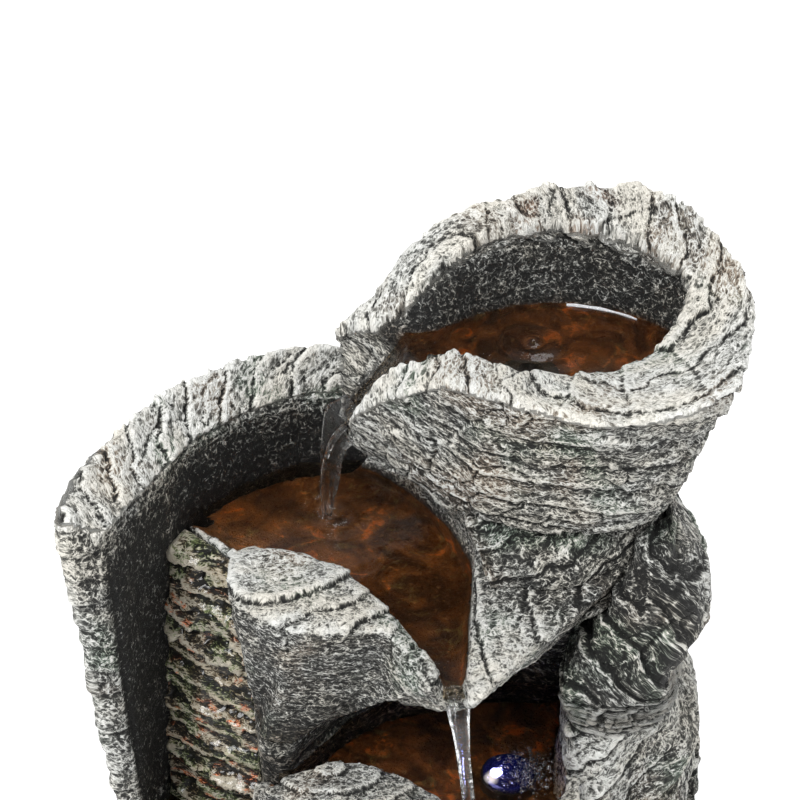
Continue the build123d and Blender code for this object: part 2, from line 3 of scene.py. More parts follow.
import bmesh
import bpy
import numpy as np
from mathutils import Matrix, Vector


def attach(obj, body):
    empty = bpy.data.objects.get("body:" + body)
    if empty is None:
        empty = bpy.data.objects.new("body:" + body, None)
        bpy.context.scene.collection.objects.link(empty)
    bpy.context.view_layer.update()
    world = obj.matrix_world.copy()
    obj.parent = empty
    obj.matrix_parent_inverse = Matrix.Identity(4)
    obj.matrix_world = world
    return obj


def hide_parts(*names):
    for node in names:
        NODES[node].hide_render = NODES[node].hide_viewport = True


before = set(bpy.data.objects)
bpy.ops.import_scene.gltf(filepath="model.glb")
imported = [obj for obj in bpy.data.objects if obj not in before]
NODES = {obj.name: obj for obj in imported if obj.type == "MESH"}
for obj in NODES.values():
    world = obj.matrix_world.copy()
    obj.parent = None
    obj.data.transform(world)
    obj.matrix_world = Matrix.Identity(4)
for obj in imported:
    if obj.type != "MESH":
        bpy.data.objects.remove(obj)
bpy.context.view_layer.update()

scene = bpy.context.scene

# water levels, in millimetres
Z_TOP, Z_MID, Z_LOW, Z_TUB = 257.5, 172.0, 105.0, 45.0

# =====================================================================
# noise, in numpy so that it gives the same result each run
# =====================================================================


def _hash(ix, iy, iz, seed):
    m = 0xFFFFFFFF
    h = ((ix & m).astype(np.uint32) * np.uint32(374761393)) ^ ((iy & m).astype(np.uint32) * np.uint32(668265263))
    h ^= ((iz & m).astype(np.uint32) * np.uint32(2246822519)) ^ np.uint32((seed * 3266489917 + 12345) & m)
    h ^= h >> np.uint32(15)
    h *= np.uint32(2246822519)
    h ^= h >> np.uint32(13)
    h *= np.uint32(3266489917)
    h ^= h >> np.uint32(16)
    return h


def perlin(p, seed=0):
    i = np.floor(p)
    f = p - i
    i = i.astype(np.int64)
    u = f * f * f * (f * (f * 6 - 15) + 10)
    out = np.zeros(len(p))
    for dx in (0, 1):
        wx = u[:, 0] if dx else 1 - u[:, 0]
        for dy in (0, 1):
            wy = u[:, 1] if dy else 1 - u[:, 1]
            for dz in (0, 1):
                wz = u[:, 2] if dz else 1 - u[:, 2]
                h = _hash(i[:, 0] + dx, i[:, 1] + dy, i[:, 2] + dz, seed)
                g = (
                    ((h & 255) / 127.5 - 1) * (f[:, 0] - dx)
                    + (((h >> 8) & 255) / 127.5 - 1) * (f[:, 1] - dy)
                    + (((h >> 16) & 255) / 127.5 - 1) * (f[:, 2] - dz)
                )
                out += wx * wy * wz * g
    return out * 1.3


def fbm(p, octaves=4, seed=0, gain=0.5):
    out, amp, total = np.zeros(len(p)), 1.0, 0.0
    for k in range(octaves):
        out += amp * perlin(p * (2.03**k) + 17.3 * k, seed + 11 * k)
        total += amp
        amp *= gain
    return out / total


def ridged(p, octaves=3, seed=0):
    out, amp, total = np.zeros(len(p)), 1.0, 0.0
    for k in range(octaves):
        out += amp * (1 - np.abs(perlin(p * (2.07**k) + 9.1 * k, seed + 7 * k)) * 1.8)
        total += amp
        amp *= 0.5
    return out / total


def voronoi(p, seed=0):
    """Nearest and second distances, and three random numbers of the nearest cell."""
    i = np.floor(p).astype(np.int64)
    f1 = np.full(len(p), 9.0)
    f2 = np.full(len(p), 9.0)
    best = np.zeros(len(p), np.uint32)
    for dx in (-1, 0, 1):
        for dy in (-1, 0, 1):
            for dz in (-1, 0, 1):
                cx, cy, cz = i[:, 0] + dx, i[:, 1] + dy, i[:, 2] + dz
                h = _hash(cx, cy, cz, seed)
                px = cx + (h & 1023) / 1023.0
                py = cy + ((h >> 10) & 1023) / 1023.0
                pz = cz + ((h >> 20) & 1023) / 1023.0
                d = np.sqrt((p[:, 0] - px) ** 2 + (p[:, 1] - py) ** 2 + (p[:, 2] - pz) ** 2)
                near = d < f1
                f2 = np.where(near, f1, np.minimum(f2, d))
                best = np.where(near, h, best)
                f1 = np.where(near, d, f1)
    r = np.stack([(best * np.uint32(k) >> np.uint32(12)) % 1000 / 999.0 for k in (2654435761, 40503 * 7919, 2246822519)], 1)
    return f1, f2, r


def step(a, b, x):
    t = np.clip((x - a) / (b - a), 0, 1)
    return t * t * (3 - 2 * t)


def lerp(a, b, t):
    return a + (b - a) * t


# =====================================================================
# mesh helpers
# =====================================================================


def read(mesh):
    co = np.empty(len(mesh.vertices) * 3, np.float32)
    mesh.vertices.foreach_get("co", co)
    return co.reshape(-1, 3).astype(float)


def edges_of(mesh):
    e = np.empty(len(mesh.edges) * 2, np.int32)
    mesh.edges.foreach_get("vertices", e)
    return e.reshape(-1, 2)


def relax(co, e, rounds, rate=0.5, back=0.0):
    n = len(co)
    deg = np.maximum(np.bincount(e.ravel(), minlength=n), 1)[:, None]
    co = co.copy()
    for _ in range(rounds):
        for r in (rate, back):
            if r == 0:
                continue
            s = np.stack([np.bincount(e[:, 0], co[e[:, 1], k], n) + np.bincount(e[:, 1], co[e[:, 0], k], n) for k in range(3)], 1)
            co += r * (s / deg - co)
    return co


def spread(v, e, rounds):
    """A value averaged over neighbours."""
    return relax(v[:, None].repeat(3, 1), e, rounds)[:, 0]


def normals_of(mesh, co):
    mesh.vertices.foreach_set("co", co.astype(np.float32).ravel())
    mesh.update()
    n = np.empty(len(mesh.vertices) * 3, np.float32)
    mesh.vertex_normals.foreach_get("vector", n)
    return n.reshape(-1, 3).astype(float)


def evaluated(obj, name):
    dg = bpy.context.evaluated_depsgraph_get()
    mesh = bpy.data.meshes.new_from_object(obj.evaluated_get(dg))
    mesh.name = name
    return mesh


def fine_mesh(node, voxel, rounds, name):
    """The node's solid as an even quad mesh, its corners rounded, at about half the voxel size. In millimetres."""
    tmp = bpy.data.objects.new("tmp_" + name, NODES[node].data.copy())
    scene.collection.objects.link(tmp)
    m = tmp.modifiers.new("r", "REMESH")
    m.mode = "VOXEL"
    m.voxel_size = voxel * 0.001 * 1.0
    mesh = evaluated(tmp, name)
    co = relax(read(mesh), edges_of(mesh), rounds, 0.5, -0.2)
    mesh.vertices.foreach_set("co", co.astype(np.float32).ravel())
    mesh.update()
    tmp.modifiers.clear()
    tmp.data = mesh
    s = tmp.modifiers.new("s", "SUBSURF")
    s.levels = s.render_levels = 1
    out = evaluated(tmp, name)
    bpy.data.objects.remove(tmp)
    bpy.data.meshes.remove(mesh)
    return out, read(out) * 1000.0, edges_of(out)


def attribute(mesh, name, values):
    if values.ndim == 1:
        a = mesh.attributes.new(name, "FLOAT", "POINT")
        a.data.foreach_set("value", values.astype(np.float32))
    elif values.shape[1] == 3:
        a = mesh.attributes.new(name, "FLOAT_VECTOR", "POINT")
        a.data.foreach_set("vector", values.astype(np.float32).ravel())


def poly_sd(poly, x, y):
    """Signed distance to a closed outline, negative inside."""
    q = np.array(poly, float)[:, :2]
    d2 = np.full(len(x), 1e18)
    inside = np.zeros(len(x), bool)
    for a, b in zip(q, np.roll(q, -1, 0)):
        e = b - a
        t = np.clip(((x - a[0]) * e[0] + (y - a[1]) * e[1]) / max(e @ e, 1e-9), 0, 1)
        d2 = np.minimum(d2, (x - a[0] - t * e[0]) ** 2 + (y - a[1] - t * e[1]) ** 2)
        if a[1] != b[1]:
            cross = ((a[1] > y) != (b[1] > y)) & (x < (b[0] - a[0]) * (y - a[1]) / (b[1] - a[1]) + a[0])
            inside ^= cross
    return np.sqrt(d2) * np.where(inside, -1, 1)


def along(line, x, y):
    """Arc length along an open line in plan, and the signed distance across it."""
    q = np.array(line, float)[:, :2]
    best = np.full(len(x), 1e18)
    s_best, side, s0 = np.zeros(len(x)), np.zeros(len(x)), 0.0
    for a, b in zip(q[:-1], q[1:]):
        e = b - a
        ln = math.hypot(*e)
        t = ((x - a[0]) * e[0] + (y - a[1]) * e[1]) / ln**2
        tc = np.clip(t, 0, 1)
        d2 = (x - a[0] - tc * e[0]) ** 2 + (y - a[1] - tc * e[1]) ** 2
        near = d2 < best
        best = np.where(near, d2, best)
        s_best = np.where(near, s0 + tc * ln, s_best)
        side = np.where(near, ((x - a[0]) * e[1] - (y - a[1]) * e[0]) / ln, side)
        s0 += ln
    return s_best, side


def ledges(level, seed, sharp=0.16, fall=0.55):
    """Profile of overlapping slabs: a groove at each lower edge, then full height, easing down to the next slab."""
    k = np.floor(level)
    t = level - k
    h = _hash(k.astype(np.int64), np.zeros(len(k), np.int64), np.zeros(len(k), np.int64), seed)
    amp = 0.5 + 0.5 * (h & 1023) / 1023.0
    saw = np.where(t < sharp, t / sharp, 1 - fall * (t - sharp) / (1 - sharp))
    return amp * saw, k


def marks(level, period, bright=1.0, dark=1.0, wide=1.0):
    """Paint along slab edges: a dark line in each groove, which is painted shade, and a bright line of light paint on
    the edge above it.
    """
    t = (level - np.floor(level)) * period
    return bright * np.exp(-((t - 2.3 * wide) / (1.1 * wide)) ** 2) - dark * np.exp(-((t - 0.35) / (0.75 * wide)) ** 2) - dark * np.exp(-((t - period) / (0.75 * wide)) ** 2)


def blob(co, centre, radii):
    q = (co - np.array(centre, float)) / np.array(radii, float)
    return np.exp(-(q * q).sum(1))


# outlines taken from the design, in millimetres
LIP = [(-4, 23), (-10, 17), (0, 14), (15, 15), (26, 8.5), (39, 4), (54, 1), (72, 3.5), (84, 10), (94, 18), (101, 28), (104, 37),
       (101, 44), (95, 49), (86, 55), (72, 61), (57, 64), (40, 62), (26, 56), (15, 49), (6, 44), (-2, 42), (-12, 42), (-4, 37)]
CREST = [(-24, 28), (-23, 19), (-8, 8), (13, -1), (32, -9), (53, -17), (68, -22), (86, -20), (103, -15), (118, -5), (124, 12), (128, 32),
         (124, 48), (114, 58), (105, 65), (88, 72), (69, 74), (50, 72), (30, 67), (12, 63), (-1, 57), (-12, 52), (-26, 50), (-26, 42)]
CHUTE = [(2, 22), (-8, 21), (-30, 27), (-30, 44), (-10, 39), (2, 38)]
MID_RIM = [(13, -56), (20, -56), (21, -52), (22, -40), (24, -16), (26, 8), (18, 30), (9, 44), (0, 56), (-8, 64), (-14, 69), (-26, 76),
           (-45, 73), (-57, 67), (-68, 60), (-84, 44), (-88, 37), (-64, 16), (-56, 4), (-41, 1), (-28, -6), (-17, -16), (-8, -27), (9, -52)]
LOW_RIM = [(-50, -48), (-48, -52), (-40, -48), (-26, -45), (-10, -47), (6, -55), (18, -64), (24, -68), (36, -68), (42, -67), (54, -60), (60, -48),
           (62, -36), (63, -18), (64, 2), (60, 16), (37, 18), (20, 16), (0, 12), (-14, 4), (-27, -6), (-42, -22), (-52, -36), (-54, -44)]
WALL_LINE = [(-119, -30), (-119, -19), (-116, 2), (-108, 20), (-100, 37), (-91, 51), (-77, 64), (-62, 73), (-47, 80), (-27, 82), (2, 83), (30, 83), (60, 82)]

WHITE = np.array([0.74, 0.72, 0.66])


def rock(node, voxel, rounds, shape, slot="cast_stone", kind="rock"):
    mesh, co, e = fine_mesh(node, voxel, rounds, "rock_" + node)
    n = relax(normals_of(mesh, co * 0.001), e, 3)
    n /= np.maximum(np.linalg.norm(n, axis=1), 1e-6)[:, None]
    new, info = shape(co, n)
    new = co + relax(new - co, e, 1, 0.22)
    smooth_of = relax(new, e, 10)
    n2 = normals_of(mesh, new * 0.001)
    high = ((new - smooth_of) * n2).sum(1)
    fine = ((new - relax(new, e, 2)) * n2).sum(1)
    # painted light: faces that turn upward get lighter paint, as light from above would make them; raised grain and
    # edges take the light dry-brushed paint
    up = n2[:, 2] - n[:, 2] * 0.6
    cov = info["cover"] + 0.055 + 0.30 * np.clip(high, -1.0, 1.0) + 0.65 * np.clip(fine, -0.35, 0.35) + info.get("up", 0.10) * up
    # the cover value is the light paint's coverage, with painted light on upward faces and painted shade in slab
    # grooves, slate gaps and on the buttress added in
    attribute(mesh, "cover", cov)
    attribute(mesh, "rc", info["rc"])
    attribute(mesh, "wet", info.get("wet", np.zeros(len(co))))
    attribute(mesh, "bed", info.get("bed", np.zeros(len(co))))
    attribute(mesh, "tint", info["tint"])
    attribute(mesh, "hot", info.get("hot", np.zeros(len(co))))
    # how deep each point sits in a hollow, used for painted shade in the material
    attribute(mesh, "cavity_shade", np.clip(-high, 0, 2))
    for p in mesh.polygons:
        p.use_smooth = True
    obj = bpy.data.objects.new("rock_" + node, mesh)
    scene.collection.objects.link(obj)
    mesh.materials.clear()
    mesh.materials.append(material_rock(kind))
    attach(obj, "fountain" if node != "rear_cover" else "hatch_cover")
    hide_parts(node)
    return obj


_mats = {}


class Tree:
    """Short names for building a node tree."""

    def __init__(self, name):
        self.m = bpy.data.materials.new(name)
        self.m.use_nodes = True
        self.t = self.m.node_tree
        self.bsdf = self.t.nodes["Principled BSDF"]

    def node(self, kind, **values):
        n = self.t.nodes.new(kind)
        for k, v in values.items():
            setattr(n, k, v)
        return n

    def link(self, a, b):
        self.t.links.new(a, b)

    def put(self, socket, value):
        if hasattr(value, "is_output"):
            self.link(value, socket)
        else:
            socket.default_value = value

    def attr(self, name, what="Fac"):
        n = self.node("ShaderNodeAttribute", attribute_name=name)
        return n.outputs[what]

    def math(self, op, a, b=None, c=None, clamp=False):
        n = self.node("ShaderNodeMath", operation=op, use_clamp=clamp)
        self.put(n.inputs[0], a)
        if b is not None:
            self.put(n.inputs[1], b)
        if c is not None:
            self.put(n.inputs[2], c)
        return n.outputs[0]

    def mix(self, f, a, b, blend="MIX"):
        n = self.node("ShaderNodeMix", data_type="RGBA", blend_type=blend)
        self.put(n.inputs["Factor"], f)
        self.put(n.inputs["A"], a)
        self.put(n.inputs["B"], b)
        return n.outputs["Result"]

    def ramp(self, x, lo, hi, out_lo=0.0, out_hi=1.0):
        n = self.node("ShaderNodeMapRange", interpolation_type="SMOOTHSTEP")
        self.put(n.inputs["Value"], x)
        for k, v in (("From Min", lo), ("From Max", hi), ("To Min", out_lo), ("To Max", out_hi)):
            self.put(n.inputs[k], v)
        return n.outputs["Result"]

    def noise(self, vector, scale, detail=3.0, rough=0.55, distort=0.0, what="Fac"):
        n = self.node("ShaderNodeTexNoise")
        self.put(n.inputs["Vector"], vector)
        n.inputs["Scale"].default_value = scale
        n.inputs["Detail"].default_value = detail
        n.inputs["Roughness"].default_value = rough
        n.inputs["Distortion"].default_value = distort
        return n.outputs[what]

    def voronoi(self, vector, scale, feature="DISTANCE_TO_EDGE", what="Distance"):
        n = self.node("ShaderNodeTexVoronoi", feature=feature)
        self.put(n.inputs["Vector"], vector)
        n.inputs["Scale"].default_value = scale
        return n.outputs[what]

    def vmath(self, op, a, b=None, scale=None):
        n = self.node("ShaderNodeVectorMath", operation=op)
        self.put(n.inputs[0], a)
        if b is not None:
            self.put(n.inputs[1], b)
        if scale is not None:
            self.put(n.inputs["Scale"], scale)
        return n.outputs[0]

    def bump(self, height, distance, strength=1.0, normal=None):
        n = self.node("ShaderNodeBump")
        n.inputs["Strength"].default_value = strength
        n.inputs["Distance"].default_value = distance
        self.put(n.inputs["Height"], height)
        if normal is not None:
            self.put(n.inputs["Normal"], normal)
        return n.outputs["Normal"]


def rgb(r, g, b):
    return (r, g, b, 1.0)


def material_rock(kind="rock"):
    """kind: rock, or slate for the wet cascade"""
    if kind in _mats:
        return _mats[kind]
    T = Tree("cast_" + kind)
    rc = T.attr("rc", "Vector")                      # millimetres, stretched along the layers
    cover, wet, bed, cavity_shade = (T.attr(k) for k in ("cover", "wet", "bed", "cavity_shade"))
    tint = T.attr("tint", "Vector")
    # the grain: a web of raised lines round small pits, at three sizes, warped
    warp = T.noise(rc, 0.22, 2.0, 0.5, 0.0, "Color")
    warp = T.vmath("SUBTRACT", warp, (0.5, 0.5, 0.5))
    p1 = T.vmath("MULTIPLY_ADD", warp, (3.4, 3.4, 3.4))
    T.link(rc, T.t.nodes[-1].inputs[2])
    def crinkle(vec, scale, width, detail=2.5):
        v = T.noise(vec, scale, detail, 0.55, 0.25)
        return T.ramp(T.math("ABSOLUTE", T.math("SUBTRACT", v, 0.5)), 0.0, width, 1.0, 0.0)

    shift = T.vmath("ADD", p1, (31.7, 11.3, 5.9))
    g1 = crinkle(p1, 0.27, 0.055)
    g2 = crinkle(shift, 0.46, 0.060)
    g3 = T.ramp(T.voronoi(p1, 0.50), 0.0, 0.22, 1.0, 0.0)
    n1 = T.noise(rc, 0.56, 5.0, 0.68)
    n2 = T.noise(rc, 0.10, 3.0, 0.5)
    height = T.math("MULTIPLY", g1, 0.30)
    height = T.math("MULTIPLY_ADD", g2, 0.24, height)
    height = T.math("MULTIPLY_ADD", g3, 0.15, height)
    height = T.math("MULTIPLY_ADD", n1, 1.15, height)      # mean about 0.80
    q = T.math("ADD", cover, T.math("MULTIPLY", T.math("SUBTRACT", height, 0.80), 1.65))
    q = T.math("ADD", q, T.math("MULTIPLY", T.math("SUBTRACT", n2, 0.5), 0.6))
    ramp = T.node("ShaderNodeValToRGB")
    T.link(q, ramp.inputs["Fac"])
    el = ramp.color_ramp.elements
    if kind == "slate":
        stops = ((0.0, (0.006, 0.005, 0.003)), (0.24, (0.017, 0.013, 0.006)), (0.42, (0.052, 0.039, 0.021)),
                 (0.58, (0.18, 0.138, 0.078)), (0.72, (0.48, 0.40, 0.27)), (0.90, (0.84, 0.79, 0.66)))
    else:
        stops = ((0.0, (0.008, 0.008, 0.0075)), (0.2, (0.024, 0.024, 0.0225)), (0.38, (0.072, 0.072, 0.067)),
                 (0.54, (0.185, 0.185, 0.172)), (0.70, (0.37, 0.37, 0.345)), (0.84, (0.585, 0.58, 0.55)), (1.0, (0.79, 0.785, 0.755)))
    while len(el) < len(stops):
        el.new(0.5)
    for e, (pos, c) in zip(el, stops):
        e.position = pos
        e.color = rgb(*c)
    col = ramp.outputs["Color"]
    # green and brown tints show in the darker paint
    hue = T.mix(T.ramp(q, 0.50, 0.92) if kind == "rock" else T.ramp(q, 0.66, 1.0), tint, rgb(1, 1, 1))
    col = T.mix(1.0, col, hue, "MULTIPLY")
    cw = T.noise(rc, 0.05, 3.0, 0.6)
    col = T.mix(1.0, col, T.mix(T.ramp(cw, 0.38, 0.66), rgb(0.99, 1.0, 1.0), rgb(1.0, 0.965, 0.90)), "MULTIPLY")
    # painted shade: hollows darkened further, in place of the shade that falls in them
    col = T.mix(T.ramp(cavity_shade, 0.15, 1.3, 0.0, 0.75), col, T.mix(1.0, col, rgb(0.18, 0.19, 0.17), "MULTIPLY"))
    # wet stone is darker
    col = T.mix(T.math("MULTIPLY", wet, 0.75), col, T.mix(1.0, col, rgb(0.30, 0.22, 0.16), "MULTIPLY"))
    # pool bed: brown, olive and rust mottles
    b1 = T.noise(rc, 0.055, 5.0, 0.62, 0.8)
    b2 = T.noise(rc, 0.11, 4.0, 0.6, 1.2)
    b3 = T.noise(rc, 0.4, 3.0, 0.6)
    bedc = T.mix(T.ramp(b1, 0.36, 0.66), rgb(0.052, 0.023, 0.010), rgb(0.27, 0.115, 0.040))
    bedc = T.mix(T.ramp(b2, 0.54, 0.74), bedc, rgb(0.21, 0.17, 0.075))
    bedc = T.mix(T.ramp(T.math("MULTIPLY", b2, b1), 0.30, 0.40), bedc, rgb(0.72, 0.20, 0.045))
    bedc = T.mix(T.ramp(b3, 0.6, 0.78, 0.0, 0.45), bedc, rgb(0.48, 0.31, 0.17))
    bedc = T.mix(T.ramp(T.math("MULTIPLY", T.attr("hot"), T.math("ADD", b3, 0.5)), 0.45, 0.85), bedc, rgb(0.72, 0.14, 0.03))
    col = T.mix(bed, col, bedc)
    T.link(col, T.bsdf.inputs["Base Color"])
    rough = T.math("MULTIPLY_ADD", n1, 0.25, 0.60)
    rough = T.math("MULTIPLY_ADD", wet, -0.52, rough)
    T.link(T.math("MAXIMUM", rough, 0.12), T.bsdf.inputs["Roughness"])
    T.bsdf.inputs["Specular IOR Level"].default_value = 0.40
    if kind == "slate":
        T.bsdf.inputs["Coat Weight"].default_value = 0.55
        T.bsdf.inputs["Coat Roughness"].default_value = 0.10
    T.link(T.bump(height, 0.0013, 1.0), T.bsdf.inputs["Normal"])
    _mats[kind] = T.m
    return T.m


# =====================================================================
# the shape of each rock. All take and give millimetres.
# =====================================================================


def base_info(co, seed, cover=0.5):
    lo = fbm(co / 40.0, 3, seed)
    g = step(0.02, 0.40, fbm(co / 26.0 + 5, 3, seed + 1))[:, None]
    b = step(0.05, 0.42, fbm(co / 34.0 - 9, 3, seed + 2))[:, None]
    tint = np.ones((len(co), 3))
    tint = tint * (1 - g) + np.array([0.80, 1.0, 0.86]) * g
    tint = tint * (1 - b) + np.array([1.22, 1.0, 0.86]) * b
    return {"cover": cover + 0.16 * lo, "rc": co.copy(), "tint": tint}


def cells(co, size, warp, seed):
    """Flat chips of stone: a random step per Voronoi cell, meeting at sharp edges."""
    f1, f2, rnd = voronoi(co / np.array(size) + 0.3 * warp[:, None], seed)
    return (rnd[:, 0] - 0.5) * step(0.0, 0.08, f2 - f1) - 0.35 * step(0.08, 0.0, f2 - f1)


def shape_top_bowl(co, n):
    x, y, z = co.T
    sd_lip = poly_sd(LIP, x, y)
    sd_chute = poly_sd(CHUTE, x, y)
    inner = step(0.2, -0.8, sd_lip) * step(300, 299, z) * (z > 225)
    bed_z = 218.5 + np.clip((x + 25) / 21.0, 0, 1.6) * 32.0
    inner = np.maximum(inner, step(1.0, -1.5, sd_chute) * (n[:, 2] > -0.2) * (z > 212) * step(bed_z + 11, bed_z + 7, z) * step(-25.5, -23.5, x))
    top = step(-3.5, 0.5, sd_lip) * step(0.10, 0.35, n[:, 2]) * (1 - inner)
    out = 1 - np.maximum(inner, top)
    th = np.arctan2(y - 30, x - 52)
    rad = np.hypot(x - 52, y - 30)
    right = step(-1.9, -0.6, th) * step(2.0, 0.9, th)
    warp = fbm(co / 24.0, 3, 3)
    warp2 = fbm(co / 8.0, 2, 4)
    # thick slabs stacked on the right, dipping to the back, thinner ones below
    level = z + 0.42 * (y + 20) * step(40, 95, x) + 0.5 * np.minimum(x - 25, 0) + 5.0 * warp + 0.8 * warp2
    big, kb = ledges((level - 256 + 1000) / 10.0, 5, 0.09)
    above = step(252, 257, level)
    mid, _ = ledges((level + 4 * warp + 1000) / 4.9, 6, 0.16)
    amp = lerp(2.0, 5.2, right) * above + 2.2 * (1 - above)
    step_in = -2.2 * (1 - above) * step(214, 224, z) * right
    chip = cells(co, (19.0, 19.0, 13.0), warp * 2, 21)
    # slabs across the rim, their edges winding outwards
    v = 0.9 * rad - 26.0 * th
    rim, kr = ledges((-v + 12 * warp + 2000) / 13.0, 12, 0.08)
    rim2, _ = ledges((th * 62 + 0.8 * rad + 12 * warp + 2000) / 38.0, 13, 0.06, 0.9)
    d = out * (1.25 * amp * (big - 0.55) + step_in + 0.8 * (mid - 0.5) + 2.2 * chip)
    d += top * (2.5 * (rim - 0.35) + 1.4 * (rim2 - 0.3) + 1.1 * chip)
    d += inner * (0.6 * fbm(co / np.array([4.0, 4.0, 7.0]), 2, 15) + 0.9 * fbm(co / 12.0, 2, 16))
    d += (1 - inner) * 0.45 * fbm(co * np.array([1, 1, 1.5]) / 3.4, 2, 17)
    new = co + n * d[:, None]
    back = step(20, 55, y)
    new[:, 2] += (3.6 * back + 1.2 * (1 - back)) * step(0.15, 0.6, n[:, 2]) * (1 - inner)
    left = step(30, 0, x) * step(38, 52, y)
    new[:, 0] -= 2.4 * left * (1 - inner)
    new[:, 1] += 2.6 * left * (1 - inner)
    info = base_info(co, 31)
    info["rc"] = np.stack([x * 0.72, y * 0.72, level * 1.55], 1)
    info["rc"][top > 0.5] = np.stack([(0.9 * th * 62 + 0.42 * rad) * 0.5, v * 1.15, z * 0.7], 1)[top > 0.5]
    info["rc"][inner > 0.5] = co[inner > 0.5]
    info["cover"] += (0.21 + 0.05 * step(30, 50, y)) * top + 0.0 * out - 0.33 * inner + 0.08 * step(244, 258, level) * out
    info["cover"] += top * (0.24 * marks((-v + 12 * warp + 2000) / 13.0, 13.0, 0.8, 1.3) + 0.20 * marks((th * 62 + 0.8 * rad + 12 * warp + 2000) / 38.0, 38.0, 0.7, 1.3))
    info["cover"] += out * 0.24 * marks((level - 256 + 1000) / 10.0, 10.0, 0.6, 1.1) * (1 - right * above)
    info["cover"] += out * 0.42 * marks((level - 256 + 1000) / 10.0, 10.0, 0.9, 1.3, 1.7) * right * above
    info["cover"] += out * 0.10 * marks((level + 4 * warp + 1000) / 4.9, 4.9, 0.8, 0.8)
    info["cover"] += 0.10 * top * step(30, -5, y) - 0.12 * step(218, 204, z) * out
    info["cover"] += 0.06 * out * above
    dark = inner[:, None]
    info["tint"] = info["tint"] * (1 - dark) + dark
    brown = (step(0.4, 1.4, th) * step(2.6, 1.6, th) * top * step(-0.2, 0.3, fbm(co / 16, 2, 40)))[:, None]
    info["tint"] = info["tint"] * (1 - brown) + np.array([1.7, 1.1, 0.85]) * brown
    info["bed"] = inner * step(Z_TOP + 0.5, Z_TOP - 1.5, z) * step(-6, 2, x)
    info["wet"] = np.maximum(inner * step(Z_TOP + 5, Z_TOP, z) * 0.8, step(1.5, -1.5, sd_chute) * inner * 0.9)
    return new, info


def shape_wall(co, n):
    x, y, z = co.T
    s, across = along(WALL_LINE, x, y)          # across is positive outside
    facing = np.where(s > 60, -n[:, 1], n[:, 0])
    top = step(0.30, 0.62, n[:, 2]) * step(176, 186, z)
    inner = step(0.2, 0.55, facing) * (1 - top)
    outer = (1 - inner) * (1 - top)
    warp = fbm(co / 22.0, 3, 51)
    tile, kt = ledges((s + 0.95 * across + 12 * warp + 2000) / 17.0, 52, 0.10, 0.5)
    tile2, _ = ledges((s * 0.6 + 1.7 * across + 12 * warp + 2000) / 13.0, 53, 0.10)
    strata, _ = ledges((z + 2.5 * warp + 0.1 * s + 1000) / 2.6, 54, 0.3)
    strata2, _ = ledges((z + 0.25 * s + 7 * warp + 1000) / 11.0, 55, 0.15)
    strata3, _ = ledges((z + 0.25 * s + 5 * warp + 1000) / 4.0, 60, 0.25)
    chip = cells(co, (15.0, 15.0, 20.0), warp * 2, 56)
    near_top = step(184, 200, z)
    d = top * (4.4 * (tile - 0.35) + 1.2 * (tile2 - 0.5) + 1.8 * chip)
    d += inner * (1.2 * (strata - 0.5) * near_top + 0.4 * fbm(co / 3.5, 2, 57) + 0.8 * fbm(co / 16.0, 2, 50))
    d += outer * (1.6 * (strata2 - 0.5) + 0.5 * (strata3 - 0.5) + 1.2 * chip + 3.0 * step(75, 40, s))
    d += (1 - inner) * 0.5 * fbm(co / 2.6, 2, 59)
    hatch = step(46, 42, np.abs(x - 20)) * step(40, 36, np.abs(z - 94)) * (y > 76)
    gland = step(15, 11, np.hypot(x + 36, z - 68)) * (y > 70)
    d *= 1 - np.maximum(hatch, gland)
    new = co + n * d[:, None]
    new[:, 2] += 3.2 * step(172, 200, z)
    new[:, 1] += 1.0 * outer * step(130, 190, z) * (s > 60)
    info = base_info(co, 61)
    flat = np.stack([(s + 0.95 * across) * 0.80, (across - 0.95 * s) * 0.34, z * 0.6], 1)
    info["rc"] = np.stack([s * 0.9, across, z * 0.9], 1)
    info["rc"][top > 0.5] = flat[top > 0.5]
    info["cover"] += 0.26 * top - 0.10 * outer - 0.53 * inner + 0.54 * inner * step(183, 203, z)
    info["cover"] += top * (0.26 * marks((s + 0.95 * across + 12 * warp + 2000) / 17.0, 17.0, 0.9, 1.5) + 0.14 * marks((s * 0.6 + 1.7 * across + 12 * warp + 2000) / 13.0, 13.0, 0.7, 1.2))
    info["cover"] += inner * 0.16 * marks((z + 2.5 * warp + 0.1 * s + 1000) / 2.6, 2.6, 0.6, 0.8) * step(184, 200, z)
    dk = (inner * step(204, 192, z))[:, None]
    info["tint"] = info["tint"] * (1 - dk) + dk
    info["wet"] = inner * step(Z_MID + 9, Z_MID + 1, z) * (y > 20) * 0.7
    return new, info


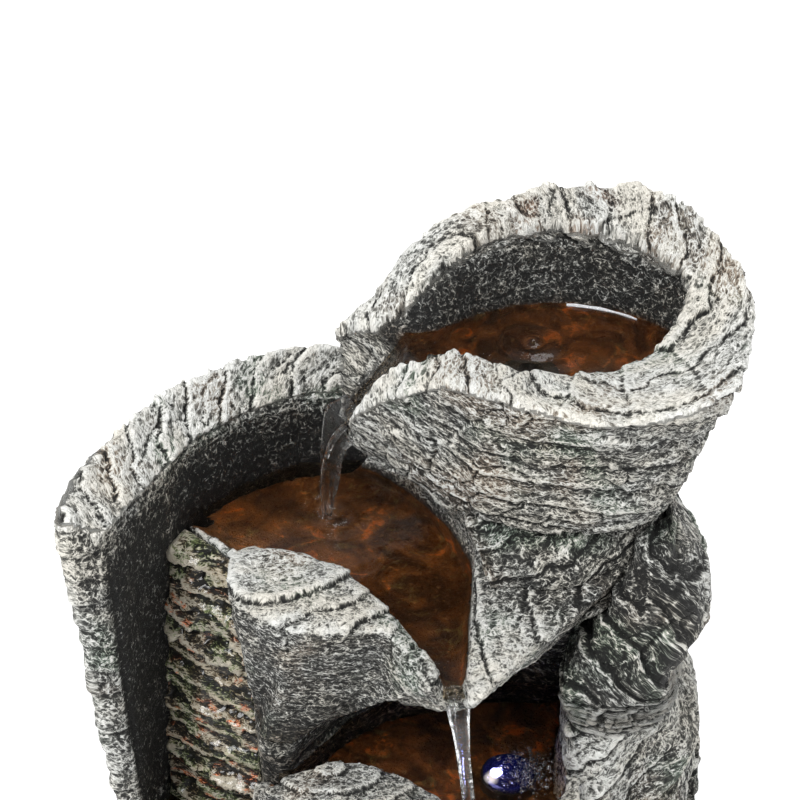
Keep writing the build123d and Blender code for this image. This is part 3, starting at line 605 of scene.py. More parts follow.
def shape_middle(co, n):
    x, y, z = co.T
    sd = poly_sd(MID_RIM, x, y)
    pool = step(0.8, -1.0, sd) * (z > 150)
    flap = step(2, -4, x - 0.12 * y) * (1 - pool)
    bank = (1 - flap) * (1 - pool)
    top = step(0.35, 0.75, n[:, 2]) * (z > 164) * (1 - pool)
    side = (1 - top) * (1 - pool)
    warp = fbm(co / 20.0, 3, 71)
    # shell-like plates, one over another, on the left ledge rock
    rr = np.hypot(x + 46 - 0.25 * (y + 4), (y + 4) * 1.0)
    plates, kp = ledges((np.minimum(27 - rr + 9.0 * warp, 11.9) + 1200) / 12.0, 72, 0.07)
    wavy, _ = ledges((z + 0.10 * x + 4.0 * fbm(co / 14.0, 2, 73) + 1000) / 2.8, 74, 0.35)
    bulk, _ = ledges((z + 0.22 * x + 5.0 * warp + 1000) / 14.0, 69, 0.12)
    diag, _ = ledges((0.75 * z + 0.62 * x + 5 * warp + 1000) / 14.0, 75, 0.09)
    diag2, _ = ledges((0.8 * z + 0.6 * x + 5 * warp + 1000) / 4.4, 76, 0.25)
    chip = cells(co, (17.0, 17.0, 12.0), warp * 2, 77)
    high_side = step(160, 176, z)
    d = flap * (top * (4.2 * (plates - 0.4) + 1.3 * chip))
    d += flap * side * (0.5 * (wavy - 0.5) + 1.5 * (bulk - 0.5) + 1.0 * chip + 2.4 * (plates - 0.5) * high_side)
    d += bank * (top * (2.4 * (diag - 0.45) + 0.9 * (diag2 - 0.5) + 1.2 * chip) + side * (2.2 * (diag - 0.5) + 1.0 * (diag2 - 0.5) + 1.0 * chip))
    d += pool * 0.8 * fbm(co / 9.0, 3, 78)
    d += (1 - pool) * 0.5 * fbm(co / 2.6, 2, 79)
    new = co + n * d[:, None]
    info = base_info(co, 81)
    info["cover"] += 0.27 * top * flap + 0.0 * top * bank - 0.11 * side - 0.16 * step(155, 125, z)
    info["cover"] -= 0.10 * bank * step(50, 70, x) + 0.20 * bank * step(177, 187, z) * step(15, 30, x)
    info["cover"] += 0.22 * blob(co, (32, -55, 176), (16, 16, 16)) * bank
    info["hot"] = pool * step(-50, -60, y)
    info["cover"] += 0.26 * marks((np.minimum(27 - rr + 9.0 * warp, 11.9) + 1200) / 12.0, 12.0, 1.0, 0.9, 1.4) * flap * top * (rr > 20)
    info["cover"] += 0.22 * marks((0.75 * z + 0.62 * x + 5 * warp + 1000) / 14.0, 14.0, 0.8, 1.2) * bank
    info["cover"] += 0.08 * marks((z + 0.10 * x + 4.0 * fbm(co / 14.0, 2, 73) + 1000) / 2.8, 2.8, 0.8, 0.8) * flap * side
    info["cover"] -= 0.5 * pool * step(Z_MID + 3, Z_MID, z)
    info["cover"] += 0.10 * bank * step(-20, -45, y) * step(150, 165, z)
    info["bed"] = pool * step(Z_MID + 0.6, Z_MID - 1.2, z)
    info["wet"] = np.maximum(pool * step(Z_MID + 5, Z_MID, z) * 0.8, 0.85 * step(134, 122, z) * flap)
    info["rc"] = co * np.array([0.8, 0.95, 1.5])
    return new, info


def shape_lower(co, n):
    x, y, z = co.T
    sd = poly_sd(LOW_RIM, x, y)
    pool = step(0.8, -1.0, sd) * (z > 80)
    top = step(0.35, 0.75, n[:, 2]) * (z > 100) * (1 - pool)
    side = (1 - top) * (1 - pool)
    warp = fbm(co / 20.0, 3, 91)
    rr = np.hypot((x + 30) * 1.0, (y + 50) * 1.3)
    plates, _ = ledges((60 - rr + 4 * warp + 1000) / 13.0, 92, 0.10)
    lay, _ = ledges((z + 0.1 * x + 5 * warp + 1000) / 10.0, 93, 0.12)
    lay2, _ = ledges((z + 0.1 * x + 5 * warp + 1000) / 3.6, 94, 0.3)
    chip = cells(co, (9.0, 9.0, 7.0), warp * 2, 95)
    d = top * (2.4 * (plates - 0.5) + 1.1 * chip) + side * (2.4 * (lay - 0.5) + 0.8 * (lay2 - 0.5) + 1.1 * chip)
    d += pool * 0.8 * fbm(co / 9.0, 3, 96)
    d += (1 - pool) * 0.5 * fbm(co / 2.6, 2, 97)
    new = co + n * d[:, None]
    info = base_info(co, 101)
    info["cover"] += 0.20 * marks((60 - rr + 4 * warp + 1000) / 13.0, 13.0, 0.9, 1.2) * top + 0.18 * marks((z + 0.1 * x + 5 * warp + 1000) / 10.0, 10.0, 0.8, 1.2) * side
    info["cover"] += 0.10 * top - 0.04 * side - 0.5 * pool * step(Z_LOW + 3, Z_LOW, z)
    info["bed"] = pool * step(Z_LOW + 0.6, Z_LOW - 1.2, z)
    info["wet"] = pool * step(Z_LOW + 5, Z_LOW, z) * 0.8
    info["rc"] = co * np.array([0.85, 0.95, 1.4])
    return new, info


def shape_layers(seed, direction, period, amount, cover=0.0, floor=None, coarse=0.0):
    """Rock in sloping layers, for the pedestal, the core and the tub."""
    direction = np.array(direction, float)

    def shape(co, n):
        x, y, z = co.T
        warp = fbm(co / 24.0, 3, seed)
        level = co @ direction + 8.5 * warp + 1000
        lay, _ = ledges(level / period, seed + 1, 0.12)
        lay2, _ = ledges((level + 2 * warp) / (period * 0.31), seed + 2, 0.3)
        chip = cells(co, (13.0, 13.0, 9.0), warp * 2, seed + 3)
        keep = step(-0.75, -0.5, n[:, 2])
        d = keep * (amount * (lay - 0.55) + 0.2 * amount * (lay2 - 0.5) + 1.2 * chip + 0.4 * fbm(co / 3.4, 2, seed + 4))
        if coarse:
            g1, g2, _ = voronoi(co / 4.6 + 0.2 * warp[:, None], seed + 6)
            d -= coarse * step(0.55, 0.15, g1) * keep
        if floor is not None:
            d = np.where(z < floor, d * 0.15, d)
        new = co + n * d[:, None]
        info = base_info(co, seed + 5)
        info["cover"] += cover + 0.20 * marks(level / period, period, 0.9, 1.2)
        unit = direction / (direction @ direction) ** 0.5
        info["rc"] = 0.8 * (co - np.outer(co @ unit, unit)) + np.outer(level * 1.4, unit)
        return new, info

    return shape


def shape_buttress(co, n):
    x, y, z = co.T
    warp = fbm(co / 24.0, 3, 111)
    ring = np.hypot(x - 42, (z - 116) * 0.9)
    diag = (-0.62 * x - 0.25 * y + 0.72 * z)
    w = step(126, 142, z)
    level = lerp(diag, -ring * 0.95 - 30, w) + 9.0 * warp + 1000
    lay, _ = ledges(level / 12.5, 112, 0.09, 0.8)
    lay2, _ = ledges((level + 2 * warp) / 4.3, 113, 0.2)
    chip = cells(co, (16.0, 16.0, 12.0), warp * 2, 114)
    d = 4.6 * (lay - 0.5) + 0.7 * (lay2 - 0.5) + 1.6 * chip + 0.4 * fbm(co / 3.4, 2, 115)
    d -= 4.5 * blob(co, (90, -42, 92), (7, 12, 22))
    d += 2.0 * blob(co, (70, -48, 92), (9, 12, 24))
    new = co + n * d[:, None]
    new[:, 0] += step(96, 110, x) * np.interp(z, [0, 86, 103, 121, 138, 155, 172, 189, 200], [0, 1, 5.5, 0, -8, 3.5, 1.5, -6.5, -7])
    info = base_info(co, 116)
    unit = np.array([-0.62, -0.25, 0.72])
    unit /= np.linalg.norm(unit)
    info["rc"] = 0.8 * (co - np.outer(co @ unit, unit)) + np.outer(level * 1.3, unit)
    # painted shadow: the top of the buttress beside the pedestal is painted darker where shadow falls between them, and
    # the hollow at (90, -42, 92) is painted darker as painted shade
    info["cover"] += 0.03 - 0.46 * step(132, 150, z) * step(116, 104, x) - 0.20 * step(92, 102, x) * step(122, 108, z) + 0.16 * blob(co, (68, -48, 92), (10, 14, 22)) - 0.22 * blob(co, (90, -42, 92), (8, 14, 24))
    info["cover"] += 0.12 * blob(co, (80, -44, 122), (14, 12, 10)) + 0.05 + 0.19 * marks(level / 12.5, 12.5, 1.0, 1.2, 1.2)
    info["cover"] += 0.10 * marks((level + 2 * warp) / 4.3, 4.3, 0.8, 0.8)
    return new, info


def shape_tub(co, n):
    x, y, z = co.T
    new, info = shape_layers(141, (0.05, 0.0, 1.0), 11.0, 2.6, 0.0, coarse=0.0)(co, n)
    sd = np.hypot(x / 1.1, y)
    rad = (x * n[:, 0] + y * n[:, 1]) / np.maximum(sd, 1)
    inner = step(-0.15, -0.4, rad) * (z > 10) + (z < 14) * (z > 5) * (n[:, 2] > 0.6)
    inner = np.clip(inner, 0, 1)
    seat = (y > 55) | ((x < -95) & (y > -22))
    rim = (n[:, 2] > 0.5) & (z > 50) & (z < 58) & seat
    off = (new - co)
    off[rim] *= 0.1
    off[z < 4] *= 0.0
    off *= (1 - 0.6 * inner)[:, None]
    bulge = step(95, 112, x) * (y > -30)
    g1, g2, _ = voronoi(co / 4.4, 149)
    off -= n * (1.3 * bulge * step(0.62, 0.2, g1) * (1 - inner))[:, None]
    new = co + off
    low = new[:, 2] < 2.5
    new[low, 2] = np.maximum(new[low, 2], 2.5)
    info["cover"] += -0.40 * inner - 0.24 * bulge * (1 - inner)
    info["wet"] = inner * step(Z_TUB + 4, Z_TUB, z) * 0.8
    info["bed"] = inner * step(Z_TUB, Z_TUB - 2, z) * 0.8
    return new, info


def shape_core(co, n):
    new, info = shape_layers(121, (0.1, 0.0, 1.0), 12.0, 1.6, -0.30)(co, n)
    x, y, z = co.T
    chamber = (y > -20) & (z < 105) & (n[:, 1] > -0.5) & (poly_sd([(-50, -24), (-40, -26), (-28, -3), (-10, 6), (4, 14), (68, 14), (78, 26), (78, 60), (66, 90), (-48, 90), (-58, 50), (-64, 41), (-57, 27), (-54, 10)], x, y) < 0)
    new[chamber] = co[chamber]
    info["cover"] = np.where(chamber, 0.05, info["cover"])
    info["wet"] = np.where((z < 112) & ~chamber, 0.7, 0.0)
    return new, info


def shape_cascade(co, n):
    x, y, z = co.T
    front = np.array([-0.42, -0.90, 0.0])
    face = step(0.1, 0.5, n @ front) + step(0.4, 0.7, n[:, 2]) * (z > 150)
    face = np.clip(face, 0, 1)
    u = (x + 84) * 0.90 - (y - 10) * 0.42         # along the face
    warp = fbm(co / np.array([16.0, 16.0, 10.0]), 3, 161)
    level = z + 0.20 * u + 9.0 * warp + 1000
    a, ka = ledges(level / 8.6, 162, 0.10, 0.95)
    b, kb = ledges((level + 3.5 * fbm(co / 8.0, 2, 163)) / 3.1, 164, 0.25)
    # each slate is broken along its length
    seg = np.floor((u + 60 + 7.7 * (ka % 7)) / 15.0 + 0.6 * warp)
    h = _hash(ka.astype(np.int64), seg.astype(np.int64), np.zeros(len(z), np.int64), 165)
    out = (h & 1023) / 1023.0
    d = face * (7.5 * a * (0.45 + 0.6 * out) - 3.4 + 0.8 * b + 0.7 * fbm(co / 3.4, 2, 166))
    new = co + (n * 0.35 + front * 0.65) * d[:, None]
    info = base_info(co, 171)
    rnd2 = ((h >> 10) & 1023) / 1023.0
    tint = np.ones((len(co), 3))
    g = (rnd2 < 0.45)[:, None] * step(-0.4, 0.2, fbm(co / 7.0, 2, 172))[:, None]
    tint = tint * (1 - g) + np.array([0.62, 1.0, 0.62]) * g
    o = (step(0.12, 0.38, fbm(co / np.array([7.0, 7.0, 3.0]) + 3, 2, 173)) * (rnd2 > 0.4))[:, None]
    tint = tint * (1 - o) + np.array([3.4, 1.05, 0.45]) * o
    info["tint"] = tint
    info["cover"] = 0.32 + 0.52 * marks(level / 8.6, 8.6, 1.0, 1.0, 1.2) + 0.24 * fbm(co / 9.0, 2, 174) + 0.42 * step(0.50, 0.85, a) * step(0.05, 0.4, out) + 0.30 * step(158, 168, z)
    # painted shade: each slate is painted darker low in its profile, in the gaps between slates
    info["cover"] -= 0.12 * (1 - step(0.1, 0.4, a))
    info["rc"] = np.stack([x * 0.7, y * 0.7, z * 1.8], 1)
    info["wet"] = face * 0.45
    return new, info


def shape_cover(co, n):
    x, y, z = co.T
    out = step(0.5, 0.9, n[:, 1])
    d = out * (0.35 * fbm(co / 5.0, 3, 181) + 0.25 * fbm(co / 2.2, 2, 182) - 0.3)
    new = co + n * d[:, None]
    info = base_info(co, 183)
    info["cover"] += 0.02 * out - 0.1
    return new, info


ROCKS = []
for args in (
    ("top_bowl", 1.6, 3, shape_top_bowl),
    ("screen_wall", 2.3, 3, shape_wall),
    ("middle_pool", 2.1, 3, shape_middle),
    ("lower_pool", 2.1, 3, shape_lower),
    ("right_buttress", 2.2, 6, shape_buttress),
    ("bowl_pedestal", 2.0, 4, shape_layers(131, (-0.35, 0.1, 0.9), 9.0, 2.4, -0.20)),
    ("reservoir_tub", 3.0, 3, shape_tub),
    ("tower_core", 2.6, 2, shape_core),
    ("slate_cascade", 1.8, 2, shape_cascade, "slate_stack", "slate"),
    ("rear_cover", 1.4, 1, shape_cover),
):
    ROCKS.append(rock(*args))

# =====================================================================
# water
# =====================================================================


def finish_object(name, mesh, mat, body="fountain", smooth=True):
    for p in mesh.polygons:
        p.use_smooth = smooth
    obj = bpy.data.objects.new(name, mesh)
    scene.collection.objects.link(obj)
    mesh.materials.append(mat)
    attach(obj, body)
    return obj


def mesh_from(name, verts, faces):
    mesh = bpy.data.meshes.new(name)
    mesh.from_pydata([tuple(v) for v in verts], [], faces)
    mesh.update()
    return mesh


def material_water(name, colour, rough=0.03, sparkle=0.5):
    T = Tree(name)
    pos = T.node("ShaderNodeTexCoord").outputs["Object"]
    p = T.vmath("SCALE", pos, scale=1000.0)
    n = T.noise(p, 0.16, 3.0, 0.5, 0.6)
    m = T.noise(p, 0.55, 2.0, 0.5, 0.3)
    col = T.mix(T.ramp(n, 0.3, 0.7), rgb(*colour), rgb(*[min(1.0, c * 1.25) for c in colour]))
    T.link(col, T.bsdf.inputs["Base Color"])
    T.bsdf.inputs["Transmission Weight"].default_value = 1.0
    T.bsdf.inputs["IOR"].default_value = 1.33
    T.link(T.ramp(m, 0.3, 0.8, rough * 0.5, rough * 1.6), T.bsdf.inputs["Roughness"])
    T.link(T.bump(T.math("ADD", n, T.math("MULTIPLY", m, 0.4)), 0.0010, sparkle), T.bsdf.inputs["Normal"])
    return T.m


WATER = material_water("water_brown", (0.80, 0.60, 0.38), 0.03, 0.3)
CLEAR = material_water("water_clear", (0.93, 0.94, 0.95), 0.02, 0.7)
STREAM = material_water("water_stream", (0.95, 0.96, 0.98), 0.09, 1.0)


# painted reflection: a white, glossy finish for the ribbon that stands in for a lamp's reflection at the waterline
def waterline_glint_material():
    T = Tree("waterline_painted_glint")
    p = T.vmath("SCALE", T.node("ShaderNodeTexCoord").outputs["Object"], scale=1000.0)
    n = T.noise(p, 1.1, 3.0, 0.6)
    T.link(T.mix(T.ramp(n, 0.35, 0.65), rgb(0.80, 0.82, 0.86), rgb(0.97, 0.97, 1.0)), T.bsdf.inputs["Base Color"])
    T.link(T.ramp(n, 0.3, 0.7, 0.08, 0.3), T.bsdf.inputs["Roughness"])
    T.bsdf.inputs["Transmission Weight"].default_value = 0.35
    T.bsdf.inputs["IOR"].default_value = 1.2
    T.link(T.bump(n, 0.0006, 0.5), T.bsdf.inputs["Normal"])
    return T.m


WATERLINE_GLINT = waterline_glint_material()


def grow(poly, centre, f):
    return [(centre[0] + (q[0] - centre[0]) * f, centre[1] + (q[1] - centre[1]) * f) for q in poly]


def sheet(name, poly, height, mat, cell=1.6, keep=None):
    """A water surface over an outline; height(x, y) in millimetres. Its edge runs into the rock round it."""
    q = np.array(poly, float)
    cell = cell * 1.0
    xs = np.arange(q[:, 0].min() - cell, q[:, 0].max() + cell, cell)
    ys = np.arange(q[:, 1].min() - cell, q[:, 1].max() + cell, cell)
    X, Y = np.meshgrid(xs, ys)
    x, y = X.ravel(), Y.ravel()
    ok = poly_sd(poly, x, y) < 0
    if keep is not None:
        ok &= keep(x, y)
    z = height(x, y)
    idx = -np.ones(len(x), int)
    nx = len(xs)
    faces = []
    used = []
    okg = ok.reshape(X.shape)
    quad = okg[:-1, :-1] & okg[1:, :-1] & okg[:-1, 1:] & okg[1:, 1:]
    for r, c in zip(*np.nonzero(quad)):
        f = []
        for a, b in ((r, c), (r, c + 1), (r + 1, c + 1), (r + 1, c)):
            k = a * nx + b
            if idx[k] < 0:
                idx[k] = len(used)
                used.append((x[k] / 1000, y[k] / 1000, z[k] / 1000))
            f.append(int(idx[k]))
        faces.append(f)
    return finish_object(name, mesh_from(name, used, faces), mat)


def waves(x, y, cx, cy, amp, wavelength, fade):
    r = np.hypot(x - cx, y - cy)
    return amp * np.cos(2 * math.pi * r / wavelength) * np.exp(-r / fade)


def ripple(x, y, seed, amp=0.22, scale=9.0):
    return amp * fbm(np.stack([x / scale, y / scale * 1.3, np.zeros(len(x))], 1), 3, seed)


def top_height(x, y):
    z = Z_TOP + waves(x, y, 46, 33, 1.0, 9.0, 14.0) + ripple(x, y, 201)
    r = np.hypot(x - 46, y - 33)
    z += 1.6 * np.exp(-(r / 7.0) ** 2)
    bed = 218.5 + np.clip((x + 25) / 21.0, 0, 1.6) * 32.0 + 3.2
    w = step(8, -4, x)
    return z * (1 - w) + np.minimum(z, bed + ripple(x, y, 202, 0.5, 4.0)) * w


def middle_height(x, y):
    z = Z_MID + waves(x, y, -31, 39, 0.8, 7.0, 12.0) + ripple(x, y, 203)
    w = step(-44, -58, y)
    return z * (1 - w) + (Z_MID - 4.2 * w) * w + ripple(x, y, 204, 0.3, 3.0) * w


def low_height(x, y):
    return Z_LOW + waves(x, y, 22, -62, 0.8, 6.0, 10.0) + ripple(x, y, 205, 0.25, 7.0) + 0.5 * np.exp(-((x - 39) ** 2 + (y + 34) ** 2) / 120.0) * np.cos(x * 1.9) * np.cos(y * 2.3)


TOP_WATER = grow(LIP, (52, 34), 0.91)
TOP_WATER = [q for q in TOP_WATER if q[0] > -2] 
sheet("water_top", [(-25.5, 28.5), (-20, 25), (-4, 20), (2, 17)] + [tuple(q) for q in grow(LIP, (52, 34), 0.93)[2:21]] + [(2, 42), (-6, 41), (-20, 42), (-25.5, 41.5)], top_height, WATER)
sheet("water_middle", [(12, -65), (21, -65), (22, -52), (24, -40), (26, -16), (28, 8), (21, 32), (12, 46), (2, 58), (-8, 67), (-16, 73), (-26, 76),
                       (-45, 73), (-57, 67), (-68, 59), (-82, 43), (-84, 38), (-64, 16), (-56, 3), (-41, -1), (-28, -8), (-16, -18), (-7, -30), (11, -54)], middle_height, WATER)
sheet("water_lower", [(-50, -49), (-47, -50), (-40, -49.5), (-26, -47), (-10, -49), (6, -57), (18, -66), (24, -74), (36, -74), (43, -67), (55, -60), (61, -48),
                      (62, -36), (63, -18), (64, 2), (60, 14), (37, 16), (20, 14), (0, 9), (-14, 2), (-27, -8), (-42, -24), (-50, -36), (-52, -44)], low_height, WATER)
TUB_IN = [(110 * math.cos(a) + 2, 80 * math.sin(a)) for a in np.linspace(0, 2 * math.pi, 48, endpoint=False)]
sheet("water_reservoir", TUB_IN, lambda x, y: Z_TUB + ripple(x, y, 206, 0.3, 12.0), WATER, 3.0,
      lambda x, y: (y < 6) & ~((x > 50) & (y > -45)) & ((x > -112) | (y < -30)))


def tube_along(name, path, widths, thick, mat, across=(0.0, 1.0, 0.0), seed=7, sides=14, twist=0.5):
    """A falling stream: an oval section carried along a path, its surface gathered into strands."""
    path = np.array(path, float)
    t = np.linspace(0, 1, len(path))
    m = 46
    tt = np.linspace(0, 1, m)
    P = np.stack([np.interp(tt, t, path[:, k]) for k in range(3)], 1)
    for _ in range(3):
        P[1:-1] = (P[:-2] + 2 * P[1:-1] + P[2:]) / 4
    W = np.interp(tt, np.linspace(0, 1, len(widths)), widths)
    H = np.interp(tt, np.linspace(0, 1, len(thick)), thick)
    across = np.array(across, float)
    verts, faces = [], []
    for i in range(m):
        tan = P[min(i + 1, m - 1)] - P[max(i - 1, 0)]
        tan /= np.linalg.norm(tan)
        a = across - tan * (across @ tan)
        a /= np.linalg.norm(a)
        b = np.cross(tan, a)
        turn = twist * tt[i]
        a, b = a * math.cos(turn) + b * math.sin(turn), b * math.cos(turn) - a * math.sin(turn)
        for j in range(sides):
            g = 2 * math.pi * j / sides
            strand = 1 + 0.16 * math.sin(3 * g + 5.0 * tt[i] + seed) + 0.10 * math.sin(5 * g - 9.0 * tt[i] + 2 * seed)
            wob = 1 + 0.13 * math.sin(15 * tt[i] + seed) * tt[i]
            verts.append((P[i] + a * math.cos(g) * W[i] / 2 * strand * wob + b * math.sin(g) * H[i] / 2 * strand) / 1000)
    for i in range(m - 1):
        for j in range(sides):
            k = (j + 1) % sides
            faces.append([i * sides + j, i * sides + k, (i + 1) * sides + k, (i + 1) * sides + j])
    faces.append(list(range(sides))[::-1])
    faces.append([(m - 1) * sides + j for j in range(sides)])
    mesh = mesh_from(name, verts, faces)
    return finish_object(name, mesh, mat)


tube_along("stream_upper", [(-20, 34, 227), (-25.5, 34, 220), (-28.5, 35.5, 212), (-30.3, 37, 200), (-31.5, 38, 186), (-32, 39, 171)], [14, 17, 15, 12, 8.5, 3.4], [2.4, 3.0, 3.2, 3.0, 2.6, 2.2], STREAM, (0.74, -0.67, 0.0), seed=3, sides=22, twist=0.25)
tube_along("stream_upper_b", [(-24.5, 31, 221), (-29.5, 32, 213), (-33, 34, 200), (-34.5, 36.5, 186), (-34, 38, 171)], [3, 2.6, 2.2, 1.8, 1.2], [2.0, 2.0, 1.8, 1.6, 1.2], STREAM, (0.74, -0.67, 0.0), seed=5)
tube_along("stream_lower", [(17, -57, 167.2), (17.3, -64.5, 167.0), (18, -68.8, 162), (19.4, -69, 150), (21, -67, 132), (22.5, -64.5, 116), (23, -63, 103)], [8, 8, 7, 5.5, 4.6, 4.6, 5.5], [2.6, 3.0, 3.4, 3.4, 3.2, 3.2, 3.6], CLEAR, (1, 0, 0), seed=9)
tube_along("stream_lower_b", [(14.5, -58, 167), (15, -65.5, 166.6), (16.3, -68.5, 158), (18.6, -68, 140), (20.3, -65.5, 120), (20.8, -64, 103)], [2.6, 2.2, 1.8, 1.5, 1.5, 1.8], [2.0, 2.0, 1.7, 1.5, 1.5, 1.5], CLEAR, (1, 0, 0), seed=2)

# bubbles and drops: low-sided balls gathered into one mesh each
BALL_V, BALL_F = [], []
bm = bmesh.new()
bmesh.ops.create_icosphere(bm, subdivisions=2, radius=1.0)
for v in bm.verts:
    BALL_V.append(np.array(v.co))
for f in bm.faces:
    BALL_F.append([v.index for v in f.verts])
bm.free()
BALL_V = np.array(BALL_V)


def balls(name, centres, radii, mat, squash=0.7):
    verts, faces, n = [], [], len(BALL_V)
    for i, (c, r) in enumerate(zip(centres, radii)):
        verts.append((np.array(c) + BALL_V * np.array([r, r, r * squash])) / 1000)
        faces += [[a + i * n for a in f] for f in BALL_F]
    return finish_object(name, mesh_from(name, np.concatenate(verts), faces), mat)


rng = np.random.default_rng(17)


def scatter(cx, cy, sx, sy, z, count, r0, r1):
    g = rng.normal(size=(count, 2))
    pts = [(cx + a * sx, cy + b * sy, z + 0.15) for a, b in g]
    return pts, r0 + (r1 - r0) * rng.random(count) ** 3


for name, args, mat in (
    ("foam_lamp", (47, -37, 6.0, 7.0, Z_LOW + 0.2, 460, 0.25, 0.85), CLEAR),
    ("foam_fall_lower", (22.5, -61, 4.5, 3.0, Z_LOW + 0.2, 46, 0.3, 1.0), CLEAR),
    ("foam_fall_upper", (-31, 39, 4.0, 3.0, Z_MID + 0.2, 30, 0.25, 0.8), CLEAR),
    ("foam_lip", (17.5, -61, 2.6, 3.0, Z_MID - 4.0, 26, 0.4, 1.1), CLEAR),
    ("bubbles_top", (50, 30, 14, 8, Z_TOP + 0.2, 18, 0.2, 0.5), CLEAR),
):
    pts, rad_ = scatter(*args)
    balls(name, pts, rad_, mat)

# a white ribbon where a lamp's reflection lies along the water's edge at the back of the bowl: painted reflection
line = [(60.5, 59.0), (64, 58.4), (68, 57.4), (72, 56.2), (76, 54.6), (80, 52.8), (83.5, 50.6), (86.5, 48.4)]
tube_along("waterline_glint_top", [(a, b, Z_TOP + 0.4) for a, b in line], [0.9, 1.5, 1.2, 1.4, 1.0, 1.3, 0.6], [0.8, 1.0, 0.9, 0.9, 0.8, 0.8, 0.5], WATERLINE_GLINT, (0, 0, 1), twist=0.0)

# drops clinging to the rock beside the middle pool and on the ledges
bowl_obj = {o.name: o for o in ROCKS}


def drops_on(node, n_drops, test, seed, mat=CLEAR, size=(0.25, 0.75)):
    mesh = bowl_obj["rock_" + node].data
    co = read(mesh) * 1000
    nn = np.empty(len(mesh.vertices) * 3, np.float32)
    mesh.vertex_normals.foreach_get("vector", nn)
    nn = nn.reshape(-1, 3)
    sel = np.nonzero(test(co, nn))[0]
    if len(sel) == 0:
        return
    g = np.random.default_rng(seed)
    pick = g.choice(sel, min(n_drops, len(sel)), replace=False)
    r = size[0] + (size[1] - size[0]) * g.random(len(pick)) ** 2
    balls("drops_" + node, [tuple(co[k] + nn[k] * r_ * 0.25) for k, r_ in zip(pick, r)], r, mat, 0.9)


drops_on("middle_pool", 90, lambda c, n: (poly_sd(MID_RIM, c[:, 0], c[:, 1]) < 7) & (c[:, 0] > 8) & (c[:, 2] > Z_MID) & (n[:, 2] > -0.2), 31)
drops_on("bowl_pedestal", 40, lambda c, n: (c[:, 0] < 40) & (c[:, 1] < 40) & (n[:, 1] < 0.2), 32)
drops_on("slate_cascade", 120, lambda c, n: (n[:, 1] < -0.2) & (c[:, 2] < 165), 33, CLEAR, (0.2, 0.6))
drops_on("lower_pool", 60, lambda c, n: (poly_sd(LOW_RIM, c[:, 0], c[:, 1]) < 5) & (c[:, 2] > Z_LOW) & (c[:, 0] < 30), 34)

# =====================================================================
# pump, tube, lamp, gland, pads: the design's own shapes, finished
# =====================================================================


def plastic(name, base, second, rough, grain=2200.0, bump=0.00006, metal=0.0, detail=4.0, stretch=None, spots=0.0):
    T = Tree(name)
    p = T.node("ShaderNodeTexCoord").outputs["Object"]
    if stretch:
        p = T.vmath("MULTIPLY", p, stretch)
    fine = T.noise(p, grain, detail, 0.6)
    broad = T.noise(p, grain * 0.03, 3.0, 0.6, 0.5)
    scratch = T.noise(T.vmath("MULTIPLY", p, (1.0, 9.0, 1.6)), grain * 0.16, 3.0, 0.7)
    col = T.mix(T.ramp(broad, 0.35, 0.68), rgb(*base), rgb(*second))
    col = T.mix(T.ramp(scratch, 0.66, 0.76, 0.0, 0.35), col, rgb(*[min(1, 1.9 * c + 0.03) for c in base]))
    if spots:
        col = T.mix(T.ramp(T.voronoi(p, grain * 0.2, "F1"), 0.12, 0.3, spots, 0.0), col, rgb(*[c * 0.4 for c in base]))
    T.link(col, T.bsdf.inputs["Base Color"])
    T.link(T.ramp(T.math("ADD", broad, T.math("MULTIPLY", fine, 0.5)), 0.5, 1.0, rough * 0.75, min(1.0, rough * 1.3)), T.bsdf.inputs["Roughness"])
    T.bsdf.inputs["Metallic"].default_value = metal
    T.link(T.bump(T.math("ADD", fine, T.math("MULTIPLY", scratch, 0.6)), bump, 0.6), T.bsdf.inputs["Normal"])
    return T


def board_material():
    T = plastic("board_green", (0.02, 0.16, 0.06), (0.03, 0.22, 0.09), 0.35)
    p = T.node("ShaderNodeTexCoord").outputs["Object"]
    tracks = T.node("ShaderNodeTexBrick")
    T.link(p, tracks.inputs["Vector"])
    tracks.inputs["Scale"].default_value = 260.0
    tracks.inputs["Mortar Size"].default_value = 0.05
    cells_ = T.voronoi(p, 420.0, "F1")
    glow = T.ramp(cells_, 0.10, 0.22, 1.0, 0.0)
    T.link(T.mix(tracks.outputs["Fac"], rgb(0.03, 0.20, 0.07), rgb(0.55, 0.42, 0.16)), T.bsdf.inputs["Base Color"])
    T.link(T.mix(glow, rgb(0.10, 0.14, 0.9), rgb(0.75, 0.82, 1.0)), T.bsdf.inputs["Emission Color"])
    T.bsdf.inputs["Emission Strength"].default_value = 5.0
    return T.m


def lens_material():
    T = plastic("lens_clear", (0.008, 0.009, 0.034), (0.013, 0.015, 0.056), 0.10, bump=0.00003)
    T.bsdf.inputs["Transmission Weight"].default_value = 0.35
    T.bsdf.inputs["IOR"].default_value = 1.46
    p = T.node("ShaderNodeTexCoord").outputs["Object"]
    rings = T.node("ShaderNodeTexWave", wave_type="RINGS", rings_direction="Z")
    T.link(T.vmath("SUBTRACT", p, (0.039, -0.034, 0.0)), rings.inputs["Vector"])
    rings.inputs["Scale"].default_value = 160.0
    spot = T.vmath("LENGTH", T.vmath("SUBTRACT", p, (0.0325, -0.037, 0.098)))
    core = T.ramp(T.t.nodes[-1].outputs["Value"], 0.0010, 0.0040, 1.0, 0.0)
    T.link(T.mix(core, T.mix(T.ramp(rings.outputs["Fac"], 0.2, 0.9), rgb(0.0008, 0.001, 0.009), rgb(0.002, 0.003, 0.028)), rgb(0.85, 0.88, 1.0)), T.bsdf.inputs["Emission Color"])
    T.bsdf.inputs["Emission Strength"].default_value = 1.2
    return T.m


def tube_material():
    T = plastic("tube_clear", (0.80, 0.86, 0.84), (0.70, 0.78, 0.74), 0.12)
    T.bsdf.inputs["Transmission Weight"].default_value = 0.7
    T.bsdf.inputs["IOR"].default_value = 1.43
    return T.m


